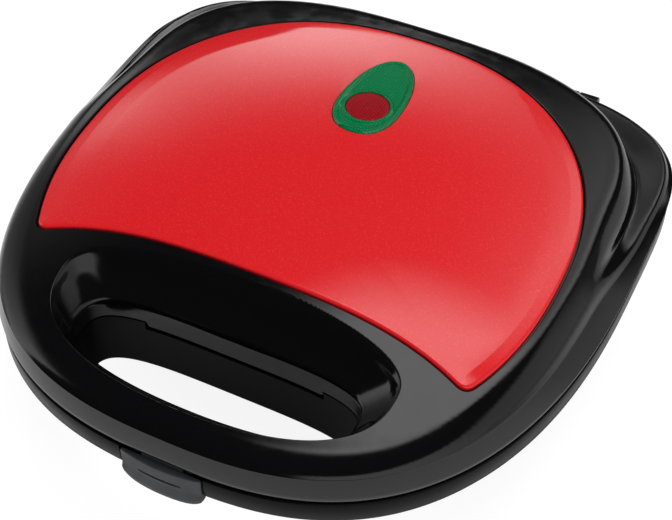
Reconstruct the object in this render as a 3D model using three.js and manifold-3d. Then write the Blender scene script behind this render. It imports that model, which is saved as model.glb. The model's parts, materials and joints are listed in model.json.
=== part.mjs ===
// Two-slice sandwich maker with a hinged lid, a handle through both halves and a front latch.
// Millimetres. X is the width, +Y points to the hinge, +Z is up, and the feet stand on Z = 0.
// Lengths along Y are measured from the widest line of the body, the waist.
import * as THREE from 'three';
import { mergeVertices } from 'three/addons/utils/BufferGeometryUtils.js';
import Module from 'manifold-3d';

const wasm = await Module();
wasm.setup();

// General fits and walls
const FIT_GAP = 0.3;
const WALL = 2.6;
const OVERRUN = 6;

// Body outline, a D seen from above: a long rounded front and a squarer rear
const BODY_HALF_WIDTH = 115.9;
const FRONT_REACH = 148.4;
const REAR_REACH = 86.5;
const FRONT_POWER = 2.58;
const REAR_POWER = 4.3;

// The oval crown of the lid leaves a lower shoulder at the two rear corners
const CROWN_SIDE_INSET = 9.9;
const CROWN_REAR_INSET = 1.5;
const CROWN_POWER = 2.75;
const CREST_SIDE_INSET = 8.3;
const CREST_REAR_INSET = 13.6;
const CREST_POWER = 3.2;
const CROWN_WALL_LEAST = 4;
const SHOULDER_START = THREE.MathUtils.degToRad(-5);
const SHOULDER_FULL = THREE.MathUtils.degToRad(9);

// Heights of the two halves
const FOOT_HEIGHT = 7.7;
const PARTING_Z = 53.5;
const PARTING_GAP = 0.8;
const LID_HEIGHT = 29;
const TRAY_DEPTH = 23.7;
const LID_TOP_Z = PARTING_Z + LID_HEIGHT;
const BASE_TOP_Z = PARTING_Z - PARTING_GAP;
const TRAY_BOTTOM_Z = BASE_TOP_Z - TRAY_DEPTH;
const BOWL_BOTTOM_Z = FOOT_HEIGHT + FIT_GAP;

// Dome of the lid: its top point and how far it drops at the sides and at the front edge
const DOME_TOP_SHIFT = 20.4;
const DOME_SIDE_DROP = 10.2;
const DOME_FRONT_DROP = 19.2;
const DOME_WALL = 4.4;

// Side of the lid, from its lower edge to the dome
const EDGE_INSET = 1.2;
const EDGE_TURN_INSET = 0.3;
const EDGE_ROUND = 1.2;
const BAND_BULGE = 3.1;
const BAND_HEIGHT = 11.5;
const BAND_LEAN = 1.4;
const FILLET_INSET = 11;
const FILLET_SHARES = [[0, 0], [0.08, 0.2], [0.2, 0.4], [0.38, 0.6], [0.62, 0.8], [0.82, 0.92], [1, 1]];
const FILLET_CAVITY_INDEX = 3;
const DOME_SHARES = [0.78, 0.5, 0.22];

// Shoulder of the lid: rounded outer edge, shelf, crease and the wall of the crown
const SHELF_BAND_HEIGHT = 5.1;
const SHELF_HEIGHT = 7.6;
const SHELF_LEAN = 1.6;
const SHELF_EDGE = 4.4;
const SHELF_RISE = 0.6;
const SHELF_WALL = 2.3;
const SHELF_SHARES = [0, 0.45, 1];
const CROWN_WALL_SHARES = [[0.14, 0.31], [0.45, 0.65], [1, 1]];

// Base: a shallow tray under the parting line, and a bowl that holds the heater
const TRAY_INSET = 0.3;
const TRAY_EDGE = 0.6;
const TRAY_BAND = 8.7;
const TRAY_ROUND = 26;
const TRAY_ROUND_SHARES = [[0, 1], [0.08, 0.75], [0.27, 0.4], [0.58, 0.12], [1, 0]];
const BOWL_SIDE_INSET = 15.9;
const BOWL_REAR_INSET = 8.5;
const BOWL_SLOT_GAP = 4;
const BOWL_POWER = 3.2;
const BOWL_DRAFT = 16;
const BOWL_SHARES = [[1, 0], [0.72, 0.06], [0.4, 0.26], [0.12, 0.62], [0, 1]];

// Handle: a scooped recess in the lid that narrows to a slot through both halves
const SLOT_SIDE_WALL = 61.9;
const SLOT_FRONT_WALL = 18.4;
const SLOT_FRONT_REACH = 17;
const SLOT_REAR_REACH = 16;
const SLOT_FRONT_POWER = 2.3;
const SLOT_REAR_POWER = 5;
const RIM_SHIFT = 8;
const RIM_SPREAD = 10.3;
const RIM_FRONT_REACH = 31.8;
const RIM_REAR_REACH = 21.5;
const RIM_FRONT_POWER = 2.2;
const RIM_REAR_POWER = 3.4;
const SCOOP_FLOOR_HEIGHT = 8;
const SCOOP_DEPTH = 17;
// Each row: share of the way out at the sides and front, the same at the rear, share of the depth
const SCOOP_SHARES = [
  [0, 0, 0], [0.22, 0.12, 0.1], [0.5, 0.3, 0.24], [0.88, 0.55, 0.48],
  [1.08, 0.8, 0.76], [1.2, 1, 1], [1.35, 1.15, 1.7],
];
const TONGUE_INSET = 19;
const TONGUE_DROP = 2.5;
const TONGUE_SIDE_GAP = 1;
const TONGUE_GAP = 2;

// Painted panel on the dome, with the indicator window in it
const PANEL_SIDE_INSET = 9.9;
const PANEL_REAR_INSET = 24;
const PANEL_REACH = 97.9;
const PANEL_POWER = 2.3;
const PANEL_RIM_GAP = 4.5;
const PANEL_FRONT_ARCH = 11.5;
const PANEL_FRONT_POWER = 3.5;
const PANEL_CORNER_INSET = 11.1;
const PANEL_CORNER_ROUND = 5;
const PANEL_THICKNESS = 1.5;
const PANEL_PROUD = 0.4;
const PANEL_BEVEL = 0.9;
const PANEL_SEAM = 0.7;
const WINDOW_SHIFT = 50;
const WINDOW_HALF_WIDTH = 12.8;
const WINDOW_FRONT_REACH = 18.3;
const WINDOW_REAR_REACH = 29;
const WINDOW_FRONT_POWER = 2.4;
const WINDOW_REAR_POWER = 2;
const WINDOW_PROUD = 1.6;
const WINDOW_BEVEL = 1.3;
const WINDOW_FLANGE = 2;
const WINDOW_DEPTH = 2.6;
const LAMP_LENS_SHIFT = 2.9;
const LAMP_LENS_RADIUS = 8.45;
const LAMP_LENS_PROUD = 1.3;
const LAMP_LENS_FLANGE = 1.6;
const LAMP_LENS_FLANGE_THICKNESS = 1.3;

// Sandwich plates: a flange on the inner frame and a pan with two pockets, each cut by a ridge
const PLATE_SIDE_INSET = 21.9;
const PLATE_REAR_INSET = 37.5;
const PLATE_SLOT_GAP = 8;
const PLATE_HALF_GAP = 0.15;
const PLATE_DROP = 2.4;
const FLANGE_CORNER = 22;
const FLANGE_THICKNESS = 3;
const LEDGE_WIDTH = 7;
const PAN_SIDE_GAP = 3;
const PAN_CORNER = 20;
const PAN_DRAFT = 4;
const PAN_FLOOR = 2.8;
const POCKET_DEPTH = 7.7;
const POCKET_WALL = 3;
const POCKET_CORNER = 14;
const RIDGE_BASE = 7;
const RIDGE_CREST = 1.2;
const RIDGE_DROP = 1.4;

// Heater under each plate
const ELEMENT_RADIUS = 2.6;
const ELEMENT_SIDE_INSET = 30;
const ELEMENT_END_INSET = 27;
const ELEMENT_END_X = 20;
const ELEMENT_TAIL = 12;
const ELEMENT_BEND = 14;
const REFLECTOR_CORNER = 30;
const REFLECTOR_SHEET = 0.8;
const REFLECTOR_RIM = 1.5;
const REFLECTOR_DRAFT = 7;
const THERMOSTAT_RADIUS = 8;
const THERMOSTAT_HEIGHT = 4;
const THERMOSTAT_CAP_RADIUS = 5;
const THERMOSTAT_CAP_HEIGHT = 1.2;
const FUSE_RADIUS = 2;
const FUSE_LENGTH = 12;
const FUSE_ELEMENT_GAP = 12;

// Inner frames and their screws
const FRAME_THICKNESS = 2;
const FRAME_SIDE_GAP = 0.5;
const FRAME_EDGE_GAP = 2.3;
const SCREW_RADIUS = 1.5;
const SCREW_HEAD_RADIUS = 2.8;
const SCREW_HEAD_HEIGHT = 1.1;
const SCREW_HOLE_GAP = 0.3;
const BOSS_RADIUS = 4.2;
const BASE_POST_HEIGHT = 8.6;
const HEAD_POCKET_DEPTH = 8.2;
const HANDLE_SCREW_INSET = 14;
const HANDLE_SCREW_SHARE = 0.41;
const CORNER_SCREW_SIDE_INSET = 24.9;
const CORNER_SCREW_REAR_INSET = 31.5;
const LID_SCREW_SIDE_INSET = 35.9;
const LID_SCREW_REAR_INSET = 28.5;
const LID_SCREW_DEPTH = 8;
const PLATE_SCREW_CORNER_SHARE = 0.8;

// Hinge at the rear: knuckles on both halves and a pin on each side
const HINGE_BEHIND = 1;
const HINGE_BELOW = 3;
const KNUCKLE_RADIUS = 4.5;
const KNUCKLE_GAP = 0.5;
const HINGE_PIN_RADIUS = 1.5;
const HINGE_INNER_X = 40;
const BASE_KNUCKLE_LENGTH = 8;
const LID_KNUCKLE_LENGTH = 13;
const ARM_THICKNESS = 4.4;
const ARM_HEIGHT = 5;
const BRACKET_DEPTH = 8;

// Latch at the front: it hangs from the lid and hooks under a ledge in the base
const LATCH_AXIS_INSET = 3.9;
const LATCH_AXIS_DROP = 2.5;
const LATCH_HALF_WIDTH = 15.5;
const LATCH_SIDE_GAP = 0.7;
const LATCH_BOW = 1.8;
const LATCH_FACE = 5.5;
const LATCH_TOP = 0.5;
const LATCH_LENGTH = 14.7;
const LATCH_LIP = 0.7;
const LATCH_HEEL = 1.4;
const LATCH_CORNER_POWER = 6;
const LATCH_LIP_SHARE = 0.78;
const LATCH_ROUND_SHARE = 0.94;
const LATCH_CORNER_SHARE = 0.2;
const LATCH_BARREL_RADIUS = 2.3;
const LATCH_BARREL_HALF_LENGTH = 8;
const LATCH_LUG_LENGTH = 3;
const LATCH_PIN_RADIUS = 1.2;
const LATCH_POCKET_DEPTH = 8.6;
const LATCH_POCKET_DROP = 13;
const LATCH_SLICES = 8;
const LATCH_GROOVE_HALF_WIDTH = 8.2;
const LATCH_GROOVE_HEIGHT = 1;
const LATCH_GROOVE_DROP = 5;
const HOOK_HALF_WIDTH = 6;
const HOOK_REACH = 3.5;
const HOOK_THICKNESS = 1.8;
const HOOK_DROP = 7.5;
const CATCH_REACH = 4.2;
const CATCH_THICKNESS = 1.5;

// Feet, mains inlet, wiring and lamps
const FOOT_RADIUS = 8;
const FOOT_FLARE = 1;
const FOOT_STEM_RADIUS = 2.4;
const FOOT_BARB = 0.9;
const FOOT_BARB_HEIGHT = 1.6;
const FOOT_SIDE_INSET = 38;
const FOOT_FRONT_INSET = 33;
const FOOT_REAR_INSET = 34;
const VENT_COUNT = 7;
const VENT_PITCH = 9;
const VENT_WIDTH = 3;
const VENT_LENGTH = 30;
const INLET_Z = 19;
const INLET_RADIUS = 5.5;
const INLET_BORE_RADIUS = 3.4;
const INLET_FLANGE = 2;
const INLET_FLANGE_THICKNESS = 1.6;
const INLET_LENGTH = 14;
const TERMINAL_WIDTH = 34;
const TERMINAL_DEPTH = 12;
const TERMINAL_HEIGHT = 11;
const TERMINAL_REAR_INSET = 37.5;
const TERMINAL_X = -30;
const TERMINAL_WAYS = 3;
const TERMINAL_HOLE_RADIUS = 2;
const WIRE_RADIUS = 2.2;
const WIRE_BEND = 6;
const WIRE_WALL_GAP = 6.6;
const WIRE_CUT_DEPTH = 12;
const LOWER_WIRE_X = -20;
const LAMP_RADIUS = 1.9;
const LAMP_LENGTH = 12;
const LAMP_TIP_SHARE = 0.45;
const HOLDER_WIDTH = 20;
const HOLDER_FRONT = 8;
const HOLDER_REAR = 30;
const HOLDER_THICKNESS = 1.4;
const HOLDER_POST_RADIUS = 2.6;
const HOLDER_SCREW_LENGTH = 6;

// How finely round shapes are cut
const OUTLINE_STEPS = 64;
const HANDLE_STEPS = 36;
const PANEL_ARC_STEPS = 17;
const PANEL_FRONT_STEPS = 5;
const PANEL_SEARCH_STEPS = 160;
const WINDOW_STEPS = 24;
const ROUND_SIDES = 16;
const SMALL_SIDES = 8;
const TUBE_SIDES = 6;
const ELEMENT_STEPS = 44;
const WIRE_STEPS = 22;
const CORNER_STEPS = 5;

// Widths and reaches that follow the body outline
const FRONT_Y = -FRONT_REACH;
const CROWN_HALF_WIDTH = BODY_HALF_WIDTH - CROWN_SIDE_INSET;
const CROWN_REAR_REACH = REAR_REACH - CROWN_REAR_INSET;
const CREST_HALF_WIDTH = CROWN_HALF_WIDTH - CREST_SIDE_INSET;
const CREST_REAR_REACH = CROWN_REAR_REACH - CREST_REAR_INSET;
const SLOT_Y = FRONT_Y + SLOT_FRONT_WALL + SLOT_FRONT_REACH;
const SLOT_HALF_WIDTH = BODY_HALF_WIDTH - SLOT_SIDE_WALL;
const SLOT_WALL_Y = SLOT_Y + SLOT_REAR_REACH;
const RIM_Y = SLOT_Y + RIM_SHIFT;
const RIM_HALF_WIDTH = SLOT_HALF_WIDTH + RIM_SPREAD;
const TONGUE_HALF_WIDTH = SLOT_HALF_WIDTH - TONGUE_INSET;
const HANDLE_SCREW_X = SLOT_HALF_WIDTH - HANDLE_SCREW_INSET;
const BOWL_HALF_WIDTH = BODY_HALF_WIDTH - BOWL_SIDE_INSET;
const BOWL_FRONT_REACH = -SLOT_WALL_Y - BOWL_SLOT_GAP;
const BOWL_REAR_REACH = REAR_REACH - BOWL_REAR_INSET;
const PANEL_HALF_WIDTH = CROWN_HALF_WIDTH - PANEL_SIDE_INSET;
const PANEL_Y = REAR_REACH - PANEL_REAR_INSET - PANEL_REACH;
const DOME_TOP_Y = PANEL_Y + DOME_TOP_SHIFT;
const PANEL_FRONT_Y = RIM_Y + RIM_REAR_REACH + PANEL_RIM_GAP;
const PANEL_CORNER_X = PANEL_HALF_WIDTH - PANEL_CORNER_INSET;
const WINDOW_Y = PANEL_Y + WINDOW_SHIFT;
const LAMP_LENS_Y = WINDOW_Y - LAMP_LENS_SHIFT;
const PLATE_REAR_Y = REAR_REACH - PLATE_REAR_INSET;
const PLATE_FRONT_Y = SLOT_WALL_Y + PLATE_SLOT_GAP;
const PLATE_Y = (PLATE_REAR_Y + PLATE_FRONT_Y) / 2;
const FLANGE_HALF_WIDTH = BODY_HALF_WIDTH - PLATE_SIDE_INSET;
const FLANGE_HALF_DEPTH = (PLATE_REAR_Y - PLATE_FRONT_Y) / 2;
const ELEMENT_HALF_WIDTH = FLANGE_HALF_WIDTH - ELEMENT_SIDE_INSET;
const ELEMENT_HALF_DEPTH = FLANGE_HALF_DEPTH - ELEMENT_END_INSET;
const FUSE_Y = PLATE_Y - ELEMENT_HALF_DEPTH + FUSE_ELEMENT_GAP;
const CORNER_SCREW_X = BODY_HALF_WIDTH - CORNER_SCREW_SIDE_INSET;
const CORNER_SCREW_Y = REAR_REACH - CORNER_SCREW_REAR_INSET;
const LID_SCREW_X = BODY_HALF_WIDTH - LID_SCREW_SIDE_INSET;
const LID_SCREW_Y = REAR_REACH - LID_SCREW_REAR_INSET;
const FOOT_X = BOWL_HALF_WIDTH - FOOT_SIDE_INSET;
const FOOT_FRONT_Y = FOOT_FRONT_INSET - BOWL_FRONT_REACH;
const FOOT_REAR_Y = BOWL_REAR_REACH - FOOT_REAR_INSET;
const TERMINAL_Y = REAR_REACH - TERMINAL_REAR_INSET;

// Derived places shared by several pieces
const HINGE_Y = REAR_REACH - HINGE_BEHIND;
const HINGE_Z = PARTING_Z - HINGE_BELOW;
const LATCH_Y = FRONT_Y + LATCH_AXIS_INSET;
const LATCH_Z = PARTING_Z - LATCH_AXIS_DROP;
const MID_Z = PARTING_Z - PARTING_GAP / 2 - PLATE_DROP;
const FLANGE_BOTTOM_Z = MID_Z - PLATE_HALF_GAP - FLANGE_THICKNESS;
const FRAME_TOP_Z = FLANGE_BOTTOM_Z - FIT_GAP;
const FRAME_BOTTOM_Z = FRAME_TOP_Z - FRAME_THICKNESS;
const PAN_BOTTOM_Z = MID_Z - PLATE_HALF_GAP - POCKET_DEPTH - PAN_FLOOR;
const ELEMENT_Z = PAN_BOTTOM_Z - FIT_GAP - ELEMENT_RADIUS;
const REFLECTOR_FLOOR_Z = ELEMENT_Z - ELEMENT_RADIUS - FIT_GAP - REFLECTOR_SHEET;
const BOWL_FLOOR_Z = BOWL_BOTTOM_Z + WALL;
const OPENING_HALF_WIDTH = FLANGE_HALF_WIDTH - LEDGE_WIDTH;
const OPENING_HALF_DEPTH = FLANGE_HALF_DEPTH - LEDGE_WIDTH;
const PAN_HALF_WIDTH = OPENING_HALF_WIDTH - PAN_SIDE_GAP;
const PAN_HALF_DEPTH = OPENING_HALF_DEPTH - PAN_SIDE_GAP;
const HOLE_RADIUS = SCREW_RADIUS + SCREW_HOLE_GAP;

// Joining and cutting

function solidOf(geometry) {
  const bare = geometry.clone();
  bare.deleteAttribute('normal');
  bare.deleteAttribute('uv');
  const merged = mergeVertices(bare);
  return new wasm.Manifold(new wasm.Mesh({
    numProp: 3,
    vertProperties: Float32Array.from(merged.attributes.position.array),
    triVerts: Uint32Array.from(merged.index.array),
  }));
}

function geometryOf(solid) {
  const mesh = solid.getMesh();
  const geometry = new THREE.BufferGeometry();
  geometry.setAttribute('position', new THREE.BufferAttribute(mesh.vertProperties, 3));
  geometry.setIndex(new THREE.BufferAttribute(mesh.triVerts, 1));
  return geometry;
}

function joined(first, ...others) {
  return others.reduce((solid, other) => solid.add(other), first);
}

function cutAway(first, ...others) {
  return others.reduce((solid, other) => solid.subtract(other), first);
}

// Turns a piece of the lower half into its twin in the upper half
function flipped(geometry) {
  const twin = geometry.index ? geometry.clone() : mergeVertices(geometry);
  const points = twin.attributes.position;
  for (let i = 0; i < points.count; i += 1) {
    points.setZ(i, MID_Z + MID_Z - points.getZ(i));
  }
  const order = twin.index;
  for (let i = 0; i < order.count; i += 3) {
    const second = order.getX(i + 1);
    order.setX(i + 1, order.getX(i + 2));
    order.setX(i + 2, second);
  }
  twin.deleteAttribute('normal');
  return twin;
}

// Basic shapes

function block(x0, x1, y0, y1, z0, z1) {
  const geometry = new THREE.BoxGeometry(x1 - x0, y1 - y0, z1 - z0);
  return geometry.translate((x0 + x1) / 2, (y0 + y1) / 2, (z0 + z1) / 2);
}

function rodX(radius, x0, x1, y, z, sides = ROUND_SIDES) {
  const geometry = new THREE.CylinderGeometry(radius, radius, x1 - x0, sides);
  return geometry.rotateZ(Math.PI / 2).translate((x0 + x1) / 2, y, z);
}

function rodY(radius, y0, y1, x, z, sides = ROUND_SIDES) {
  const geometry = new THREE.CylinderGeometry(radius, radius, y1 - y0, sides);
  return geometry.translate(x, (y0 + y1) / 2, z);
}

function rodZ(radius, z0, z1, x, y, sides = ROUND_SIDES) {
  const geometry = new THREE.CylinderGeometry(radius, radius, z1 - z0, sides);
  return geometry.rotateX(Math.PI / 2).translate(x, y, (z0 + z1) / 2);
}

// A closed skin over rings of equal count, each running anticlockwise, from the lowest to the highest
function loft(rings, lowCentre, highCentre) {
  const count = rings[0].length;
  const centreOf = (ring) => ring
    .reduce((sum, point) => sum.add(point), new THREE.Vector3())
    .divideScalar(count);
  const points = rings.flat();
  points.push(lowCentre ?? centreOf(rings[0]), highCentre ?? centreOf(rings[rings.length - 1]));
  const low = points.length - 2;
  const high = points.length - 1;
  const top = (rings.length - 1) * count;
  const faces = [];
  for (let i = 0; i < count; i += 1) {
    const next = (i + 1) % count;
    faces.push(low, next, i);
    faces.push(high, top + i, top + next);
    for (let level = 0; level < rings.length - 1; level += 1) {
      const here = level * count;
      const above = here + count;
      faces.push(here + i, here + next, above + next);
      faces.push(here + i, above + next, above + i);
    }
  }
  const geometry = new THREE.BufferGeometry();
  geometry.setFromPoints(points);
  geometry.setIndex(faces);
  return geometry;
}

function turns(steps, make) {
  return Array.from({ length: steps }, (_, i) => make((i / steps) * 2 * Math.PI));
}

function mix(a, b, share) {
  return a + (b - a) * share;
}

// Distance from the waist centre to a superellipse whose front and rear differ
function polarReach(angle, halfWidth, frontReach, rearReach, frontPower, rearPower) {
  const atRear = Math.sin(angle) >= 0;
  const reach = atRear ? rearReach : frontReach;
  const power = atRear ? rearPower : frontPower;
  const side = Math.abs(Math.cos(angle)) / halfWidth;
  const along = Math.abs(Math.sin(angle)) / reach;
  return (side ** power + along ** power) ** (-1 / power);
}

function bodyReach(angle) {
  return polarReach(angle, BODY_HALF_WIDTH, FRONT_REACH, REAR_REACH, FRONT_POWER, REAR_POWER);
}

function pointAt(angle, radius, z) {
  return new THREE.Vector3(radius * Math.cos(angle), radius * Math.sin(angle), z);
}

function domeZ(x, y) {
  const side = x / BODY_HALF_WIDTH;
  const along = (y - DOME_TOP_Y) / FRONT_REACH;
  return LID_TOP_Z - DOME_SIDE_DROP * side * side - DOME_FRONT_DROP * along * along;
}

function onDome(angle, radius, lift) {
  const point = pointAt(angle, radius, 0);
  point.z = domeZ(point.x, point.y) + lift;
  return point;
}

// A ring whose front and rear halves are superellipse arcs about a centre on the Y axis
function ovalRing(steps, centreY, halfWidth, frontReach, rearReach, frontPower, rearPower, z) {
  return turns(steps, (turn) => {
    const atRear = Math.sin(turn) >= 0;
    const power = atRear ? rearPower : frontPower;
    const reach = atRear ? rearReach : frontReach;
    const across = Math.sign(Math.cos(turn)) * Math.abs(Math.cos(turn)) ** (2 / power);
    const along = Math.sign(Math.sin(turn)) * Math.abs(Math.sin(turn)) ** (2 / power);
    return new THREE.Vector3(halfWidth * across, centreY + reach * along, z);
  });
}

function roundedRing(halfWidth, halfDepth, corner, centreX, centreY, z) {
  const ring = [];
  for (let quarter = 0; quarter < 4; quarter += 1) {
    const signX = quarter === 0 || quarter === 3 ? 1 : -1;
    const signY = quarter < 2 ? 1 : -1;
    for (let step = 0; step <= CORNER_STEPS; step += 1) {
      const angle = (quarter + step / CORNER_STEPS) * Math.PI / 2;
      ring.push(new THREE.Vector3(
        centreX + signX * (halfWidth - corner) + corner * Math.cos(angle),
        centreY + signY * (halfDepth - corner) + corner * Math.sin(angle),
        z,
      ));
    }
  }
  return ring;
}

// A tube of even section along straight runs with rounded bends
function tube(radius, corners, bend, steps, sides = TUBE_SIDES) {
  const path = new THREE.CurvePath();
  let from = corners[0];
  for (let i = 1; i < corners.length - 1; i += 1) {
    const back = corners[i - 1].clone().sub(corners[i]).setLength(bend).add(corners[i]);
    const ahead = corners[i + 1].clone().sub(corners[i]).setLength(bend).add(corners[i]);
    path.add(new THREE.LineCurve3(from, back));
    path.add(new THREE.QuadraticBezierCurve3(back, corners[i], ahead));
    from = ahead;
  }
  path.add(new THREE.LineCurve3(from, corners[corners.length - 1]));
  const section = new THREE.Shape(
    turns(sides, (angle) => new THREE.Vector2(radius * Math.cos(angle), radius * Math.sin(angle))),
  );
  return new THREE.ExtrudeGeometry(section, { steps, extrudePath: path, bevelEnabled: false });
}

// A pan-head screw that points up from the underside of what it holds
function screw(x, y, headTopZ, tipZ) {
  const profile = [
    new THREE.Vector2(0, headTopZ - SCREW_HEAD_HEIGHT),
    new THREE.Vector2(SCREW_HEAD_RADIUS, headTopZ - SCREW_HEAD_HEIGHT),
    new THREE.Vector2(SCREW_HEAD_RADIUS, headTopZ),
    new THREE.Vector2(SCREW_RADIUS, headTopZ),
    new THREE.Vector2(SCREW_RADIUS, tipZ - SCREW_RADIUS),
    new THREE.Vector2(0, tipZ),
  ];
  return new THREE.LatheGeometry(profile, SMALL_SIDES).rotateX(Math.PI / 2).translate(x, y, 0);
}

// Lid shell

// Inset from the body outline and height of each point of the lid's side, at one angle
function lidSide(angle) {
  const reach = bodyReach(angle);
  const crown = polarReach(
    angle, CROWN_HALF_WIDTH, CROWN_HALF_WIDTH, CROWN_REAR_REACH, CROWN_POWER, CROWN_POWER);
  const climb = Math.asin(Math.sin(angle));
  const shoulder = THREE.MathUtils.smoothstep(climb, SHOULDER_START, SHOULDER_FULL);
  const crestReach = polarReach(
    angle, CREST_HALF_WIDTH, CREST_HALF_WIDTH, CREST_REAR_REACH, CREST_POWER, CREST_POWER);
  const shelf = Math.max(reach - crown, SHELF_EDGE + BAND_LEAN / 2);
  const wall = Math.max(reach - crestReach - shelf, CROWN_WALL_LEAST);
  const lastInset = mix(FILLET_INSET, shelf + wall, shoulder);
  const crest = onDome(angle, reach - lastInset, 0).z;
  const shelfTop = PARTING_Z + SHELF_HEIGHT + SHELF_RISE;
  const shoulderPoints = [[SHELF_LEAN, PARTING_Z + SHELF_BAND_HEIGHT]];
  for (const share of SHELF_SHARES) {
    shoulderPoints.push([mix(SHELF_EDGE, shelf, share), PARTING_Z + SHELF_HEIGHT + SHELF_RISE * share]);
  }
  for (const [out, up] of CROWN_WALL_SHARES) {
    shoulderPoints.push([shelf + wall * out, mix(shelfTop, crest, up)]);
  }
  const bandTop = PARTING_Z + BAND_HEIGHT;
  return FILLET_SHARES.map(([out, up], i) => {
    const inset = mix(BAND_LEAN, FILLET_INSET, out);
    const height = mix(bandTop, crest, up);
    const [shelfInset, shelfHeight] = shoulderPoints[i];
    return [mix(inset, shelfInset, shoulder), mix(height, shelfHeight, shoulder)];
  });
}

function lidOuter() {
  const ringOf = (pick) => turns(OUTLINE_STEPS, pick);
  const rings = [
    ringOf((a) => pointAt(a, bodyReach(a) - EDGE_INSET, PARTING_Z)),
    ringOf((a) => pointAt(a, bodyReach(a) - EDGE_TURN_INSET, PARTING_Z + EDGE_ROUND)),
    ringOf((a) => pointAt(a, bodyReach(a), PARTING_Z + BAND_BULGE)),
  ];
  FILLET_SHARES.forEach((_, i) => {
    rings.push(ringOf((a) => pointAt(a, bodyReach(a) - lidSide(a)[i][0], lidSide(a)[i][1])));
  });
  const last = FILLET_SHARES.length - 1;
  for (const share of DOME_SHARES) {
    rings.push(ringOf((a) => onDome(a, (bodyReach(a) - lidSide(a)[last][0]) * share, 0)));
  }
  return solidOf(loft(rings, undefined, onDome(0, 0, 0)));
}

function lidCavity() {
  const ringOf = (pick) => turns(OUTLINE_STEPS / 2, pick);
  const last = FILLET_SHARES.length - 1;
  const ceilingZ = PARTING_Z + SHELF_HEIGHT - SHELF_WALL;
  const inner = (a, i) => {
    const [inset, height] = lidSide(a)[i];
    return pointAt(a, bodyReach(a) - inset - WALL, Math.max(height - WALL, ceilingZ + i * SHELF_RISE / 2));
  };
  const rings = [
    ringOf((a) => pointAt(a, bodyReach(a) - WALL, PARTING_Z - OVERRUN)),
    ringOf((a) => pointAt(a, bodyReach(a) - WALL, PARTING_Z + EDGE_ROUND)),
    ringOf((a) => inner(a, 0)),
    ringOf((a) => inner(a, FILLET_CAVITY_INDEX)),
    ringOf((a) => onDome(a, bodyReach(a) - lidSide(a)[last][0] - WALL, -DOME_WALL)),
    ringOf((a) => onDome(a, (bodyReach(a) - lidSide(a)[last][0]) * DOME_SHARES[1], -DOME_WALL)),
  ];
  return solidOf(loft(rings, undefined, onDome(0, 0, -DOME_WALL)));
}

// Outline of the handle opening between the slot and the rim; the rear edge climbs at its own rate
function handleRing(sideShare, rearShare, extra, z) {
  const centreY = mix(SLOT_Y, RIM_Y, sideShare);
  const frontY = mix(SLOT_Y - SLOT_FRONT_REACH, RIM_Y - RIM_FRONT_REACH, sideShare);
  const rearY = mix(SLOT_Y + SLOT_REAR_REACH, RIM_Y + RIM_REAR_REACH, rearShare);
  return ovalRing(
    HANDLE_STEPS,
    centreY,
    mix(SLOT_HALF_WIDTH, RIM_HALF_WIDTH, sideShare) + extra,
    centreY - frontY + extra,
    rearY - centreY + extra,
    mix(SLOT_FRONT_POWER, RIM_FRONT_POWER, Math.min(sideShare, 1)),
    mix(SLOT_REAR_POWER, RIM_REAR_POWER, Math.min(rearShare, 1)),
    z,
  );
}

function scoop(extra, lowZ) {
  const floorZ = PARTING_Z + SCOOP_FLOOR_HEIGHT;
  const rings = [handleRing(0, 0, extra, lowZ)];
  for (const [side, rear, depth] of SCOOP_SHARES) {
    rings.push(handleRing(side, rear, extra, floorZ + SCOOP_DEPTH * depth));
  }
  return solidOf(loft(rings));
}

function slotPrism(extra, lowZ, highZ) {
  return solidOf(loft([handleRing(0, 0, extra, lowZ), handleRing(0, 0, extra, highZ)]));
}

// Outline of the painted panel, grown by a margin: an oval whose front is cut along an arch
function panelOutline(margin) {
  const centre = new THREE.Vector2(0, PANEL_Y);
  const frontY = (x) => PANEL_FRONT_Y - margin
    - PANEL_FRONT_ARCH * Math.abs(x / PANEL_CORNER_X) ** PANEL_FRONT_POWER;
  const arcPoint = (angle) => {
    const reach = polarReach(
      angle, PANEL_HALF_WIDTH, PANEL_REACH, PANEL_REACH, PANEL_POWER, PANEL_POWER) + margin;
    return new THREE.Vector2(reach * Math.cos(angle), PANEL_Y + reach * Math.sin(angle));
  };
  let corner = 0;
  while (arcPoint(corner).y > frontY(arcPoint(corner).x) + PANEL_CORNER_ROUND) {
    corner -= Math.PI / PANEL_SEARCH_STEPS;
  }
  const half = [];
  for (let step = 0; step <= PANEL_ARC_STEPS; step += 1) {
    half.push(arcPoint(mix(Math.PI / 2, corner, step / PANEL_ARC_STEPS)));
  }
  const side = half[half.length - 1];
  const tip = new THREE.Vector2(side.x, frontY(side.x));
  const inner = new THREE.Vector2(side.x - PANEL_CORNER_ROUND, frontY(side.x - PANEL_CORNER_ROUND));
  const turn = new THREE.QuadraticBezierCurve(side, tip, inner);
  half.push(...turn.getPoints(CORNER_STEPS).slice(1));
  for (let step = 1; step <= PANEL_FRONT_STEPS; step += 1) {
    const x = inner.x * (1 - step / PANEL_FRONT_STEPS);
    half.push(new THREE.Vector2(x, frontY(x)));
  }
  const mirrored = half.slice(1, -1).map((point) => new THREE.Vector2(-point.x, point.y));
  const outline = [...mirrored, half[half.length - 1], ...half.slice(1, -1).reverse(), half[0]];
  return { centre, outline };
}

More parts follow.
